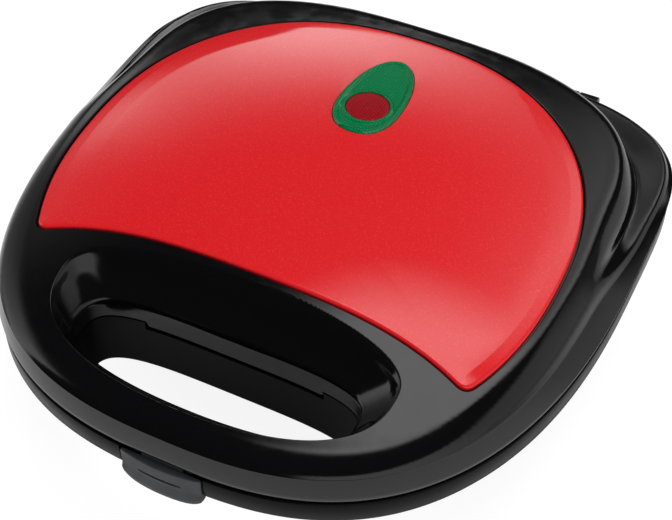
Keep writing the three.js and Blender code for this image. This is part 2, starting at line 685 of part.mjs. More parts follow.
// A sheet that follows the dome between two lifts, inside a star-shaped outline
function domeSheet({ centre, outline }, lowLift, highLift, bevel, innerShares) {
  const ringAt = (share, inset, lift) => outline.map((point) => {
    const arm = point.clone().sub(centre);
    const place = centre.clone().add(arm.setLength((arm.length() - inset) * share));
    return new THREE.Vector3(place.x, place.y, domeZ(place.x, place.y) + lift);
  });
  const rings = [];
  for (const share of [...innerShares].reverse()) {
    rings.push(ringAt(share, 0, lowLift));
  }
  rings.push(ringAt(1, 0, lowLift));
  rings.push(ringAt(1, 0, highLift - bevel / 2));
  rings.push(ringAt(1, bevel, highLift));
  for (const share of innerShares) {
    rings.push(ringAt(share, bevel, highLift));
  }
  const middle = (lift) => new THREE.Vector3(centre.x, centre.y, domeZ(centre.x, centre.y) + lift);
  return loft(rings, middle(lowLift), middle(highLift));
}

function windowOutline(margin) {
  const ring = ovalRing(
    WINDOW_STEPS, WINDOW_Y, WINDOW_HALF_WIDTH + margin, WINDOW_FRONT_REACH + margin,
    WINDOW_REAR_REACH + margin, WINDOW_FRONT_POWER, WINDOW_REAR_POWER, 0);
  return {
    centre: new THREE.Vector2(0, WINDOW_Y),
    outline: ring.map((point) => new THREE.Vector2(point.x, point.y)),
  };
}

const SHEET_SHARES = [0.7, 0.35];
const LENS_Z = domeZ(0, LAMP_LENS_Y);
const LENS_BACK_Z = domeZ(0, LAMP_LENS_Y + LAMP_LENS_RADIUS + LAMP_LENS_FLANGE)
  - PANEL_THICKNESS - WINDOW_DEPTH - FIT_GAP;

// The two hinges stand on the left and on the right of the middle
const HINGE_SIDES = [-1, 1];

function hingeSpan(side, start, length) {
  const near = side * start;
  const far = side * (start + length);
  return [Math.min(near, far), Math.max(near, far)];
}

const LID_KNUCKLE_X = HINGE_INNER_X + BASE_KNUCKLE_LENGTH + KNUCKLE_GAP;
const OUTER_KNUCKLE_X = LID_KNUCKLE_X + LID_KNUCKLE_LENGTH + KNUCKLE_GAP;
const HINGE_LENGTH = OUTER_KNUCKLE_X + BASE_KNUCKLE_LENGTH - HINGE_INNER_X;
const HINGE_BORE_RADIUS = HINGE_PIN_RADIUS + FIT_GAP;
const HINGE_CLEAR_RADIUS = KNUCKLE_RADIUS + KNUCKLE_GAP;

// The front screws stand between the front wall and the slot
const SLOT_SIDE = (HANDLE_SCREW_X / SLOT_HALF_WIDTH) ** SLOT_FRONT_POWER;
const SLOT_EDGE_Y = SLOT_Y - SLOT_FRONT_REACH * (1 - SLOT_SIDE) ** (1 / SLOT_FRONT_POWER);
const BODY_SIDE = (HANDLE_SCREW_X / BODY_HALF_WIDTH) ** FRONT_POWER;
const BODY_EDGE_Y = -FRONT_REACH * (1 - BODY_SIDE) ** (1 / FRONT_POWER);
const HANDLE_SCREW_Y = mix(SLOT_EDGE_Y, BODY_EDGE_Y, HANDLE_SCREW_SHARE);

const BASE_SCREW_PLACES = [-1, 1].flatMap((side) => [
  [side * HANDLE_SCREW_X, HANDLE_SCREW_Y],
  [side * CORNER_SCREW_X, CORNER_SCREW_Y],
]);

const LID_SCREW_PLACES = [-1, 1].flatMap((side) => [
  [side * HANDLE_SCREW_X, HANDLE_SCREW_Y],
  [side * LID_SCREW_X, LID_SCREW_Y],
]);

const PLATE_SCREW_ARM = FLANGE_CORNER * PLATE_SCREW_CORNER_SHARE * Math.SQRT1_2;
const PLATE_SCREW_PLACES = [-1, 1].flatMap((signX) => [-1, 1].map((signY) => [
  signX * (FLANGE_HALF_WIDTH - FLANGE_CORNER + PLATE_SCREW_ARM),
  PLATE_Y + signY * (FLANGE_HALF_DEPTH - FLANGE_CORNER + PLATE_SCREW_ARM),
]));

const LAMP_PLACES = [LAMP_LENS_Y, LAMP_LENS_Y + WINDOW_REAR_REACH / 2];
const HOLDER_TOP_Z = LENS_BACK_Z - LAMP_LENS_FLANGE_THICKNESS - FIT_GAP * 2 - LAMP_RADIUS * 2;
const HOLDER_POSTS = [-1, 1].map((side) => [side * (WINDOW_HALF_WIDTH + HOLDER_POST_RADIUS), LAMP_LENS_Y]);
const UPPER_FRAME_TOP_Z = MID_Z + MID_Z - FRAME_BOTTOM_Z;

function lidShell() {
  const outer = lidOuter();
  const solid = joined(
    cutAway(outer, lidCavity()),
    scoop(WALL, PARTING_Z).intersect(outer),
    solidOf(block(
      -TONGUE_HALF_WIDTH, TONGUE_HALF_WIDTH, SLOT_WALL_Y, SLOT_WALL_Y + WALL,
      PARTING_Z - TONGUE_DROP, PARTING_Z + WALL)),
  );
  const bosses = LID_SCREW_PLACES.map(([x, y]) => solidOf(
    rodZ(BOSS_RADIUS, UPPER_FRAME_TOP_Z + FIT_GAP, LID_TOP_Z, x, y, SMALL_SIDES)).intersect(outer));
  const posts = HOLDER_POSTS.map(([x, y]) => solidOf(
    rodZ(HOLDER_POST_RADIUS, HOLDER_TOP_Z + FIT_GAP, LENS_Z - DOME_WALL / 2, x, y, SMALL_SIDES)));
  const arms = HINGE_SIDES.flatMap((side) => {
    const [x0, x1] = hingeSpan(side, LID_KNUCKLE_X, LID_KNUCKLE_LENGTH);
    return [
      solidOf(rodX(KNUCKLE_RADIUS, x0, x1, HINGE_Y, HINGE_Z)),
      solidOf(block(
        x0, x1, HINGE_Y - ARM_THICKNESS, HINGE_Y + HINGE_BEHIND / 2,
        HINGE_Z + HINGE_BELOW - FIT_GAP, HINGE_Z + HINGE_BELOW + ARM_HEIGHT)),
    ];
  });
  const lugs = [-1, 1].flatMap((side) => {
    const [x0, x1] = hingeSpan(side, LATCH_BARREL_HALF_LENGTH + FIT_GAP, LATCH_LUG_LENGTH);
    return [
      solidOf(rodX(LATCH_BARREL_RADIUS, x0, x1, LATCH_Y, LATCH_Z, SMALL_SIDES)),
      solidOf(block(
        x0, x1, LATCH_Y - FIT_GAP, LATCH_Y + LATCH_BARREL_RADIUS,
        LATCH_Z, PARTING_Z + BAND_BULGE)),
      solidOf(block(
        x0, x1, FRONT_Y + WALL / 2, LATCH_Y, PARTING_Z + FIT_GAP, PARTING_Z + BAND_BULGE)).intersect(outer),
    ];
  });
  const clearances = HINGE_SIDES.flatMap((side) => [
    hingeSpan(side, HINGE_INNER_X - KNUCKLE_GAP, BASE_KNUCKLE_LENGTH + KNUCKLE_GAP * 2),
    hingeSpan(side, OUTER_KNUCKLE_X - KNUCKLE_GAP, BASE_KNUCKLE_LENGTH + KNUCKLE_GAP * 2),
  ]).map(([x0, x1]) => solidOf(rodX(HINGE_CLEAR_RADIUS, x0, x1, HINGE_Y, HINGE_Z)));
  const wireWay = solidOf(rodX(HINGE_CLEAR_RADIUS, LOWER_WIRE_X, -LOWER_WIRE_X, HINGE_Y, HINGE_Z));
  const seat = solidOf(domeSheet(
    panelOutline(PANEL_SEAM), -PANEL_THICKNESS - FIT_GAP, OVERRUN, 0, SHEET_SHARES));
  const opening = solidOf(domeSheet(
    windowOutline(FIT_GAP - WINDOW_FLANGE), -DOME_WALL - OVERRUN, OVERRUN, 0, SHEET_SHARES));
  const bores = [
    ...LID_SCREW_PLACES.map(([x, y]) => rodZ(
      HOLE_RADIUS, PARTING_Z, UPPER_FRAME_TOP_Z + LID_SCREW_DEPTH + FIT_GAP, x, y, SMALL_SIDES)),
    ...HOLDER_POSTS.map(([x, y]) => rodZ(
      HOLE_RADIUS, PARTING_Z, HOLDER_TOP_Z + HOLDER_SCREW_LENGTH, x, y, SMALL_SIDES)),
    rodX(HINGE_BORE_RADIUS, -BODY_HALF_WIDTH, BODY_HALF_WIDTH, HINGE_Y, HINGE_Z, SMALL_SIDES),
    rodX(LATCH_PIN_RADIUS + FIT_GAP, -LATCH_HALF_WIDTH, LATCH_HALF_WIDTH, LATCH_Y, LATCH_Z, SMALL_SIDES),
  ].map(solidOf);
  return cutAway(
    joined(cutAway(joined(solid, ...bosses, ...posts), ...clearances, wireWay), ...arms, ...lugs),
    scoop(0, PARTING_Z - OVERRUN), seat, opening, ...bores,
  );
}

function topPanel() {
  const sheet = domeSheet(
    panelOutline(0), -PANEL_THICKNESS, PANEL_PROUD, PANEL_BEVEL, SHEET_SHARES);
  const opening = domeSheet(
    windowOutline(FIT_GAP), -PANEL_THICKNESS - OVERRUN, OVERRUN, 0, SHEET_SHARES);
  return cutAway(solidOf(sheet), solidOf(opening));
}

function greenLens() {
  const face = domeSheet(
    windowOutline(0), -PANEL_THICKNESS, WINDOW_PROUD, WINDOW_BEVEL, SHEET_SHARES);
  const body = domeSheet(
    windowOutline(-WINDOW_FLANGE), -PANEL_THICKNESS - WINDOW_DEPTH, 0, 0, SHEET_SHARES);
  const bore = rodZ(LAMP_LENS_RADIUS + FIT_GAP, PARTING_Z, LID_TOP_Z + OVERRUN, 0, LAMP_LENS_Y);
  return cutAway(joined(solidOf(face), solidOf(body)), solidOf(bore));
}

function redLens() {
  const bottomZ = LENS_BACK_Z - LAMP_LENS_FLANGE_THICKNESS;
  const body = rodZ(LAMP_LENS_RADIUS, bottomZ, LENS_Z + LAMP_LENS_PROUD, 0, LAMP_LENS_Y);
  const flange = rodZ(LAMP_LENS_RADIUS + LAMP_LENS_FLANGE, bottomZ, LENS_BACK_Z, 0, LAMP_LENS_Y);
  return joined(solidOf(body), solidOf(flange));
}

function neonLamp(y) {
  const tip = LAMP_LENGTH * LAMP_TIP_SHARE / 2;
  const profile = [
    new THREE.Vector2(0, -LAMP_LENGTH / 2),
    new THREE.Vector2(LAMP_RADIUS, -LAMP_LENGTH / 2),
    new THREE.Vector2(LAMP_RADIUS, LAMP_LENGTH / 2 - tip),
    new THREE.Vector2(LAMP_RADIUS * Math.SQRT1_2, LAMP_LENGTH / 2 - tip / 3),
    new THREE.Vector2(0, LAMP_LENGTH / 2),
  ];
  const geometry = new THREE.LatheGeometry(profile, SMALL_SIDES).rotateZ(-Math.PI / 2);
  return geometry.translate(0, y, HOLDER_TOP_Z + FIT_GAP + LAMP_RADIUS);
}

function lampHolder() {
  const bottomZ = HOLDER_TOP_Z - HOLDER_THICKNESS;
  const plate = block(
    -HOLDER_WIDTH, HOLDER_WIDTH, LAMP_LENS_Y - HOLDER_FRONT, LAMP_LENS_Y + HOLDER_REAR,
    bottomZ, HOLDER_TOP_Z);
  const holes = HOLDER_POSTS.map(([x, y]) => solidOf(
    rodZ(HOLE_RADIUS, bottomZ - OVERRUN, HOLDER_TOP_Z + OVERRUN, x, y, SMALL_SIDES)));
  return cutAway(solidOf(plate), ...holes);
}

// Base shell

function trayOuter() {
  const bandBottomZ = BASE_TOP_Z - TRAY_BAND;
  const ringOf = (inset, z) => turns(OUTLINE_STEPS, (a) => pointAt(a, bodyReach(a) - inset, z));
  const rings = [];
  for (const [out, up] of [...TRAY_ROUND_SHARES].reverse()) {
    rings.push(ringOf(TRAY_INSET + TRAY_ROUND * out, mix(TRAY_BOTTOM_Z, bandBottomZ, up)));
  }
  rings.push(ringOf(TRAY_INSET, BASE_TOP_Z - TRAY_EDGE));
  rings.push(ringOf(TRAY_INSET + TRAY_EDGE, BASE_TOP_Z));
  return solidOf(loft(rings));
}

function trayCavity() {
  const floorZ = TRAY_BOTTOM_Z + WALL;
  const bandBottomZ = BASE_TOP_Z - TRAY_BAND;
  const side = TRAY_INSET + WALL;
  const [nearShare, highShare] = TRAY_ROUND_SHARES[1];
  const [outShare, upShare] = TRAY_ROUND_SHARES[2];
  const ringOf = (inset, z) => turns(OUTLINE_STEPS / 2, (a) => pointAt(a, bodyReach(a) - inset, z));
  return solidOf(loft([
    ringOf(side + TRAY_ROUND, floorZ),
    ringOf(side + TRAY_ROUND * outShare, mix(floorZ, bandBottomZ, upShare)),
    ringOf(side + TRAY_ROUND * nearShare, mix(floorZ, bandBottomZ, highShare)),
    ringOf(side, bandBottomZ),
    ringOf(side, BASE_TOP_Z + OVERRUN),
  ]));
}

function bowlRing(inset, z) {
  return turns(OUTLINE_STEPS / 2, (a) => pointAt(a, polarReach(
    a, BOWL_HALF_WIDTH, BOWL_FRONT_REACH, BOWL_REAR_REACH, BOWL_POWER, BOWL_POWER) - inset, z));
}

function bowl(thickness, topZ) {
  const highZ = TRAY_BOTTOM_Z + WALL / 2;
  const rings = BOWL_SHARES.map(([inward, up]) => bowlRing(
    BOWL_DRAFT * inward + thickness, mix(BOWL_BOTTOM_Z + thickness, highZ, up)));
  if (topZ > highZ) {
    rings.push(bowlRing(thickness, topZ));
  }
  return solidOf(loft(rings));
}

const LATCH_POCKET_HALF_WIDTH = LATCH_HALF_WIDTH + LATCH_SIDE_GAP;
const LATCH_POCKET_BACK_Y = FRONT_Y + LATCH_POCKET_DEPTH;
const BASE_POST_TOP_Z = TRAY_BOTTOM_Z + BASE_POST_HEIGHT + WALL;
const HEAD_SEAT_Z = TRAY_BOTTOM_Z + HEAD_POCKET_DEPTH;
const FOOT_PLACES = [-1, 1].flatMap((side) => [
  [side * FOOT_X, FOOT_FRONT_Y],
  [side * FOOT_X, FOOT_REAR_Y],
]);

function baseShell() {
  const tray = trayOuter();
  const hollow = joined(trayCavity(), bowl(WALL, BASE_TOP_Z));
  const slotWall = slotPrism(WALL, TRAY_BOTTOM_Z - OVERRUN, BASE_TOP_Z + OVERRUN).intersect(tray);
  const pocketWall = solidOf(block(
    -LATCH_POCKET_HALF_WIDTH - WALL, LATCH_POCKET_HALF_WIDTH + WALL,
    FRONT_Y, LATCH_POCKET_BACK_Y + WALL, TRAY_BOTTOM_Z, BASE_TOP_Z)).intersect(tray);
  const posts = BASE_SCREW_PLACES.map(([x, y]) => solidOf(
    rodZ(BOSS_RADIUS, TRAY_BOTTOM_Z, BASE_POST_TOP_Z, x, y, SMALL_SIDES)).intersect(tray));
  const clearances = HINGE_SIDES.map((side) => {
    const [x0, x1] = hingeSpan(
      side, LID_KNUCKLE_X - KNUCKLE_GAP, LID_KNUCKLE_LENGTH + KNUCKLE_GAP * 2);
    return solidOf(rodX(HINGE_CLEAR_RADIUS, x0, x1, HINGE_Y, HINGE_Z));
  });
  const knuckles = HINGE_SIDES.flatMap((side) => [HINGE_INNER_X, OUTER_KNUCKLE_X].flatMap((start) => {
    const [x0, x1] = hingeSpan(side, start, BASE_KNUCKLE_LENGTH);
    return [
      solidOf(rodX(KNUCKLE_RADIUS, x0, x1, HINGE_Y, HINGE_Z)),
      solidOf(block(
        x0, x1, HINGE_Y - BRACKET_DEPTH, HINGE_Y, HINGE_Z - KNUCKLE_RADIUS, HINGE_Z)),
    ];
  }));
  const catchLedge = solidOf(block(
    -HOOK_HALF_WIDTH - LATCH_SIDE_GAP, HOOK_HALF_WIDTH + LATCH_SIDE_GAP,
    LATCH_POCKET_BACK_Y - CATCH_REACH, LATCH_POCKET_BACK_Y + WALL / 2,
    LATCH_Z - HOOK_DROP + FIT_GAP, LATCH_Z - HOOK_DROP + FIT_GAP + CATCH_THICKNESS));
  const wireWay = solidOf(rodX(HINGE_CLEAR_RADIUS, LOWER_WIRE_X, -LOWER_WIRE_X, HINGE_Y, HINGE_Z));
  const latchPocket = solidOf(block(
    -LATCH_POCKET_HALF_WIDTH, LATCH_POCKET_HALF_WIDTH,
    FRONT_Y - OVERRUN, LATCH_POCKET_BACK_Y, LATCH_Z - LATCH_POCKET_DROP, PARTING_Z + OVERRUN));
  const notch = solidOf(block(
    -TONGUE_HALF_WIDTH - TONGUE_SIDE_GAP, TONGUE_HALF_WIDTH + TONGUE_SIDE_GAP,
    SLOT_WALL_Y - OVERRUN, SLOT_WALL_Y + WALL + FIT_GAP,
    PARTING_Z - TONGUE_DROP - TONGUE_GAP, PARTING_Z + OVERRUN));
  const vents = Array.from({ length: VENT_COUNT }, (_, i) => {
    const x = (i - (VENT_COUNT - 1) / 2) * VENT_PITCH;
    return block(
      x - VENT_WIDTH / 2, x + VENT_WIDTH / 2, PLATE_Y - VENT_LENGTH / 2, PLATE_Y + VENT_LENGTH / 2,
      0, BOWL_FLOOR_Z + OVERRUN);
  });
  const holes = [
    ...vents,
    ...BASE_SCREW_PLACES.map(([x, y]) => rodZ(
      HOLE_RADIUS, BOWL_BOTTOM_Z, BASE_POST_TOP_Z + OVERRUN, x, y, SMALL_SIDES)),
    ...BASE_SCREW_PLACES.map(([x, y]) => rodZ(
      SCREW_HEAD_RADIUS + SCREW_HOLE_GAP, BOWL_BOTTOM_Z, HEAD_SEAT_Z, x, y, SMALL_SIDES)),
    ...FOOT_PLACES.map(([x, y]) => rodZ(
      FOOT_STEM_RADIUS + FIT_GAP, 0, BOWL_FLOOR_Z + OVERRUN, x, y, SMALL_SIDES)),
    rodX(HINGE_BORE_RADIUS, -BODY_HALF_WIDTH, BODY_HALF_WIDTH, HINGE_Y, HINGE_Z, SMALL_SIDES),
    rodY(INLET_RADIUS + FIT_GAP, BOWL_REAR_REACH / 2, REAR_REACH, 0, INLET_Z),
  ].map(solidOf);
  const shell = cutAway(joined(tray, bowl(0, 0)), hollow);
  const walled = cutAway(joined(shell, slotWall, pocketWall, ...posts), latchPocket, ...clearances, wireWay);
  return cutAway(
    joined(walled, ...knuckles, catchLedge),
    slotPrism(0, 0, LID_TOP_Z), notch, ...holes,
  );
}

// Inner frame of the lower half, which the plate stands on

function innerFrame(isUpper) {
  const inset = TRAY_INSET + WALL + FRAME_EDGE_GAP;
  const outline = (z) => turns(OUTLINE_STEPS / 2, (a) => pointAt(a, bodyReach(a) - inset, z));
  const opening = (z) => roundedRing(
    OPENING_HALF_WIDTH, OPENING_HALF_DEPTH, FLANGE_CORNER - LEDGE_WIDTH + PAN_SIDE_GAP, 0, PLATE_Y, z);
  const plate = solidOf(loft([outline(FRAME_BOTTOM_Z), outline(FRAME_TOP_Z)]));
  const screwPlaces = isUpper ? LID_SCREW_PLACES : BASE_SCREW_PLACES;
  const bossBottomZ = isUpper ? FRAME_BOTTOM_Z : BASE_POST_TOP_Z + FIT_GAP;
  const bosses = isUpper ? [] : screwPlaces.map(([x, y]) => solidOf(
    rodZ(BOSS_RADIUS, bossBottomZ, FRAME_TOP_Z, x, y, SMALL_SIDES)));
  const rearCuts = HINGE_SIDES.map((side) => {
    const [x0, x1] = hingeSpan(
      side, HINGE_INNER_X - FRAME_EDGE_GAP, HINGE_LENGTH + FRAME_EDGE_GAP * 2);
    return solidOf(block(
      x0, x1, HINGE_Y - BRACKET_DEPTH - FRAME_SIDE_GAP, REAR_REACH, BOWL_BOTTOM_Z, PARTING_Z));
  });
  const wireCut = solidOf(block(
    LOWER_WIRE_X, -LOWER_WIRE_X, HINGE_Y - BRACKET_DEPTH - WIRE_CUT_DEPTH, REAR_REACH,
    BOWL_BOTTOM_Z, PARTING_Z));
  const frontHalfWidth = LATCH_POCKET_HALF_WIDTH + WALL + FRAME_SIDE_GAP;
  const frontCut = solidOf(block(
    -frontHalfWidth, frontHalfWidth, FRONT_Y, LATCH_POCKET_BACK_Y + WALL + FRAME_SIDE_GAP,
    BOWL_BOTTOM_Z, PARTING_Z));
  const holes = [...screwPlaces, ...PLATE_SCREW_PLACES].map(([x, y]) => solidOf(
    rodZ(HOLE_RADIUS, BOWL_BOTTOM_Z, PARTING_Z, x, y, SMALL_SIDES)));
  return cutAway(
    joined(plate, ...bosses),
    solidOf(loft([opening(BOWL_BOTTOM_Z), opening(PARTING_Z)])),
    slotPrism(WALL + FRAME_SIDE_GAP, BOWL_BOTTOM_Z, PARTING_Z),
    ...rearCuts, wireCut, frontCut, ...holes,
  );
}

// Sandwich plate of the lower half

function sandwichPlate() {
  const topZ = MID_Z - PLATE_HALF_GAP;
  const flange = [FLANGE_BOTTOM_Z, topZ].map((z) => roundedRing(
    FLANGE_HALF_WIDTH, FLANGE_HALF_DEPTH, FLANGE_CORNER, 0, PLATE_Y, z));
  const pan = [
    roundedRing(PAN_HALF_WIDTH - PAN_DRAFT, PAN_HALF_DEPTH - PAN_DRAFT, PAN_CORNER, 0, PLATE_Y, PAN_BOTTOM_Z),
    roundedRing(PAN_HALF_WIDTH, PAN_HALF_DEPTH, PAN_CORNER, 0, PLATE_Y, FLANGE_BOTTOM_Z),
    roundedRing(PAN_HALF_WIDTH, PAN_HALF_DEPTH, PAN_CORNER, 0, PLATE_Y, topZ - FLANGE_THICKNESS / 2),
  ];
  const halfWidth = (PAN_HALF_WIDTH - POCKET_WALL * 2) / 2;
  const halfDepth = PAN_HALF_DEPTH - POCKET_WALL;
  const floorZ = topZ - POCKET_DEPTH;
  let solid = joined(solidOf(loft(flange)), solidOf(loft(pan)));
  for (const side of [-1, 1]) {
    const x = side * (POCKET_WALL + halfWidth);
    const ring = (grow, z) => roundedRing(
      halfWidth + grow, halfDepth + grow, POCKET_CORNER + grow, x, PLATE_Y, z);
    const slope = PAN_DRAFT / POCKET_DEPTH;
    const pocket = solidOf(loft([ring(-PAN_DRAFT, floorZ), ring(OVERRUN * slope, topZ + OVERRUN)]));
    const profile = new THREE.Shape([
      new THREE.Vector2(-RIDGE_BASE / 2, -PAN_FLOOR / 2),
      new THREE.Vector2(RIDGE_BASE / 2, -PAN_FLOOR / 2),
      new THREE.Vector2(RIDGE_CREST / 2, POCKET_DEPTH - RIDGE_DROP),
      new THREE.Vector2(-RIDGE_CREST / 2, POCKET_DEPTH - RIDGE_DROP),
    ]);
    const length = Math.hypot(halfWidth, halfDepth) * 2;
    const ridge = new THREE.ExtrudeGeometry(profile, { depth: length, bevelEnabled: false })
      .translate(0, 0, -length / 2)
      .rotateX(Math.PI / 2)
      .rotateZ(-side * Math.atan2(halfWidth, halfDepth))
      .translate(x, PLATE_Y, floorZ);
    const floor = solidOf(loft([ring(-PAN_DRAFT / 2, floorZ - PAN_FLOOR / 2), ring(PAN_DRAFT / 2, topZ)]));
    solid = joined(cutAway(solid, pocket), solidOf(ridge).intersect(floor));
  }
  const holes = PLATE_SCREW_PLACES.map(([x, y]) => solidOf(
    rodZ(HOLE_RADIUS, PAN_BOTTOM_Z, topZ - SCREW_HEAD_HEIGHT, x, y, SMALL_SIDES)));
  return cutAway(solid, ...holes);
}

function heatingElement() {
  const rearY = PLATE_Y + OPENING_HALF_DEPTH + ELEMENT_TAIL;
  const turnY = PLATE_Y + ELEMENT_HALF_DEPTH;
  const frontY = PLATE_Y - ELEMENT_HALF_DEPTH;
  const corners = [
    [-ELEMENT_END_X, rearY], [-ELEMENT_END_X, turnY], [-ELEMENT_HALF_WIDTH, turnY],
    [-ELEMENT_HALF_WIDTH, frontY], [ELEMENT_HALF_WIDTH, frontY], [ELEMENT_HALF_WIDTH, turnY],
    [ELEMENT_END_X, turnY], [ELEMENT_END_X, rearY],
  ].map(([x, y]) => new THREE.Vector3(x, y, ELEMENT_Z));
  return tube(ELEMENT_RADIUS, corners, ELEMENT_BEND, ELEMENT_STEPS);
}

function reflector() {
  const rimZ = FRAME_BOTTOM_Z - FIT_GAP;
  const skin = (sheet, lowZ, highZ) => solidOf(loft([
    roundedRing(
      OPENING_HALF_WIDTH + REFLECTOR_RIM - REFLECTOR_DRAFT - sheet,
      OPENING_HALF_DEPTH + REFLECTOR_RIM - REFLECTOR_DRAFT - sheet,
      REFLECTOR_CORNER, 0, PLATE_Y, lowZ),
    roundedRing(
      OPENING_HALF_WIDTH + REFLECTOR_RIM - sheet, OPENING_HALF_DEPTH + REFLECTOR_RIM - sheet,
      REFLECTOR_CORNER, 0, PLATE_Y, highZ),
  ]));
  const ends = [-1, 1].map((side) => solidOf(rodY(
    ELEMENT_RADIUS + FIT_GAP * 2, PLATE_Y + ELEMENT_HALF_DEPTH, REAR_REACH, side * ELEMENT_END_X,
    ELEMENT_Z, SMALL_SIDES)));
  return cutAway(
    skin(0, REFLECTOR_FLOOR_Z, rimZ),
    skin(REFLECTOR_SHEET, REFLECTOR_FLOOR_Z + REFLECTOR_SHEET, rimZ + REFLECTOR_SHEET),
    ...ends,
  );
}

function thermostat() {
  const topZ = PAN_BOTTOM_Z - FIT_GAP;
  const body = rodZ(THERMOSTAT_RADIUS, topZ - THERMOSTAT_HEIGHT, topZ, 0, PLATE_Y);
  const capTopZ = topZ - THERMOSTAT_HEIGHT;
  const cap = rodZ(
    THERMOSTAT_CAP_RADIUS, capTopZ - THERMOSTAT_CAP_HEIGHT, capTopZ + THERMOSTAT_CAP_HEIGHT, 0, PLATE_Y);
  return joined(solidOf(body), solidOf(cap));
}

// Screws, each at one of the four corners

const SIDE_NAMES = ['left', 'right'];
const CORNER_NAMES = ['front_left', 'rear_left', 'front_right', 'rear_right'];

function plateScrew([x, y]) {
  return screw(x, y, FRAME_BOTTOM_Z - FIT_GAP, MID_Z - PLATE_HALF_GAP - SCREW_HEAD_HEIGHT - FIT_GAP);
}

function housingScrew([x, y]) {
  return screw(x, y, HEAD_SEAT_Z - FIT_GAP, FRAME_TOP_Z - FIT_GAP);
}

// The lid's frame is held from inside, so these heads lie on its open face
function lidScrew([x, y]) {
  return screw(x, y, MID_Z + MID_Z - FRAME_TOP_Z - FIT_GAP, UPPER_FRAME_TOP_Z + LID_SCREW_DEPTH);
}

function holderScrew([x, y]) {
  return screw(
    x, y, HOLDER_TOP_Z - HOLDER_THICKNESS - FIT_GAP, HOLDER_TOP_Z + HOLDER_SCREW_LENGTH - FIT_GAP);
}

// Small pieces

function foot() {
  const barbZ = BOWL_FLOOR_Z + FIT_GAP;
  const profile = [
    [0, 0], [FOOT_RADIUS - FOOT_FLARE, 0], [FOOT_RADIUS, FOOT_FLARE], [FOOT_RADIUS, FOOT_HEIGHT],
    [FOOT_STEM_RADIUS, FOOT_HEIGHT], [FOOT_STEM_RADIUS, barbZ], [FOOT_STEM_RADIUS + FOOT_BARB, barbZ],
    [0, barbZ + FOOT_BARB_HEIGHT],
  ].map(([radius, z]) => new THREE.Vector2(radius, z));
  return new THREE.LatheGeometry(profile, ROUND_SIDES).rotateX(Math.PI / 2);
}

function cordInlet() {
  const outY = BOWL_REAR_REACH - BOWL_DRAFT / 2;
  const profile = [
    [INLET_BORE_RADIUS, -INLET_LENGTH / 2], [INLET_RADIUS, -INLET_LENGTH / 2],
    [INLET_RADIUS, INLET_LENGTH / 2 - INLET_FLANGE_THICKNESS],
    [INLET_RADIUS + INLET_FLANGE, INLET_LENGTH / 2 - INLET_FLANGE_THICKNESS],
    [INLET_RADIUS + INLET_FLANGE, INLET_LENGTH / 2], [INLET_BORE_RADIUS, INLET_LENGTH / 2],
    [INLET_BORE_RADIUS, -INLET_LENGTH / 2],
  ].map(([radius, along]) => new THREE.Vector2(radius, along));
  return new THREE.LatheGeometry(profile, ROUND_SIDES).translate(0, outY + WALL, INLET_Z);
}

function terminalBlock() {
  const bottomZ = BOWL_FLOOR_Z + FIT_GAP;
  const body = block(
    TERMINAL_X - TERMINAL_WIDTH / 2, TERMINAL_X + TERMINAL_WIDTH / 2,
    TERMINAL_Y - TERMINAL_DEPTH / 2, TERMINAL_Y + TERMINAL_DEPTH / 2, bottomZ, bottomZ + TERMINAL_HEIGHT);
  const holes = Array.from({ length: TERMINAL_WAYS }, (_, i) => {
    const x = TERMINAL_X + ((i + 1 / 2) / TERMINAL_WAYS - 1 / 2) * TERMINAL_WIDTH;
    return solidOf(rodY(
      TERMINAL_HOLE_RADIUS, TERMINAL_Y - TERMINAL_DEPTH, TERMINAL_Y + TERMINAL_DEPTH, x,
      bottomZ + TERMINAL_HEIGHT / 2, SMALL_SIDES));
  });
  return cutAway(solidOf(body), ...holes);
}

// The wires to the lid cross on the hinge axis, where they only twist when the lid opens
function lowerWires() {
  const insideY = BOWL_REAR_REACH - WALL - WIRE_WALL_GAP;
  const startZ = BOWL_FLOOR_Z + FIT_GAP * 2 + TERMINAL_HEIGHT + WIRE_RADIUS;
  const corners = [
    [TERMINAL_X, TERMINAL_Y, startZ],
    [LOWER_WIRE_X / 2 + TERMINAL_X / 2, insideY, startZ + WIRE_RADIUS],
    [LOWER_WIRE_X + WIRE_BEND, insideY, HINGE_Z - WIRE_RADIUS / 2],
    [LOWER_WIRE_X / 2, HINGE_Y, HINGE_Z],
    [-FIT_GAP / 2, HINGE_Y, HINGE_Z],
  ].map(([x, y, z]) => new THREE.Vector3(x, y, z));
  return tube(WIRE_RADIUS, corners, WIRE_RADIUS * 2, WIRE_STEPS);
}

function upperWires() {
  const insideY = HINGE_Y - BRACKET_DEPTH - WIRE_RADIUS;
  const highZ = UPPER_FRAME_TOP_Z + LID_SCREW_DEPTH;
  const corners = [
    [FIT_GAP / 2, HINGE_Y, HINGE_Z],
    [-LOWER_WIRE_X / 2, HINGE_Y, HINGE_Z],
    [-LOWER_WIRE_X - WIRE_BEND, insideY, MID_Z + WIRE_RADIUS * 2],
    [ELEMENT_END_X, insideY - WIRE_BEND, highZ],
    [ELEMENT_END_X, TERMINAL_Y + WIRE_BEND, highZ],
  ].map(([x, y, z]) => new THREE.Vector3(x, y, z));
  return tube(WIRE_RADIUS, corners, WIRE_RADIUS * 2, WIRE_STEPS);
}

// Latch, drawn about its own pivot

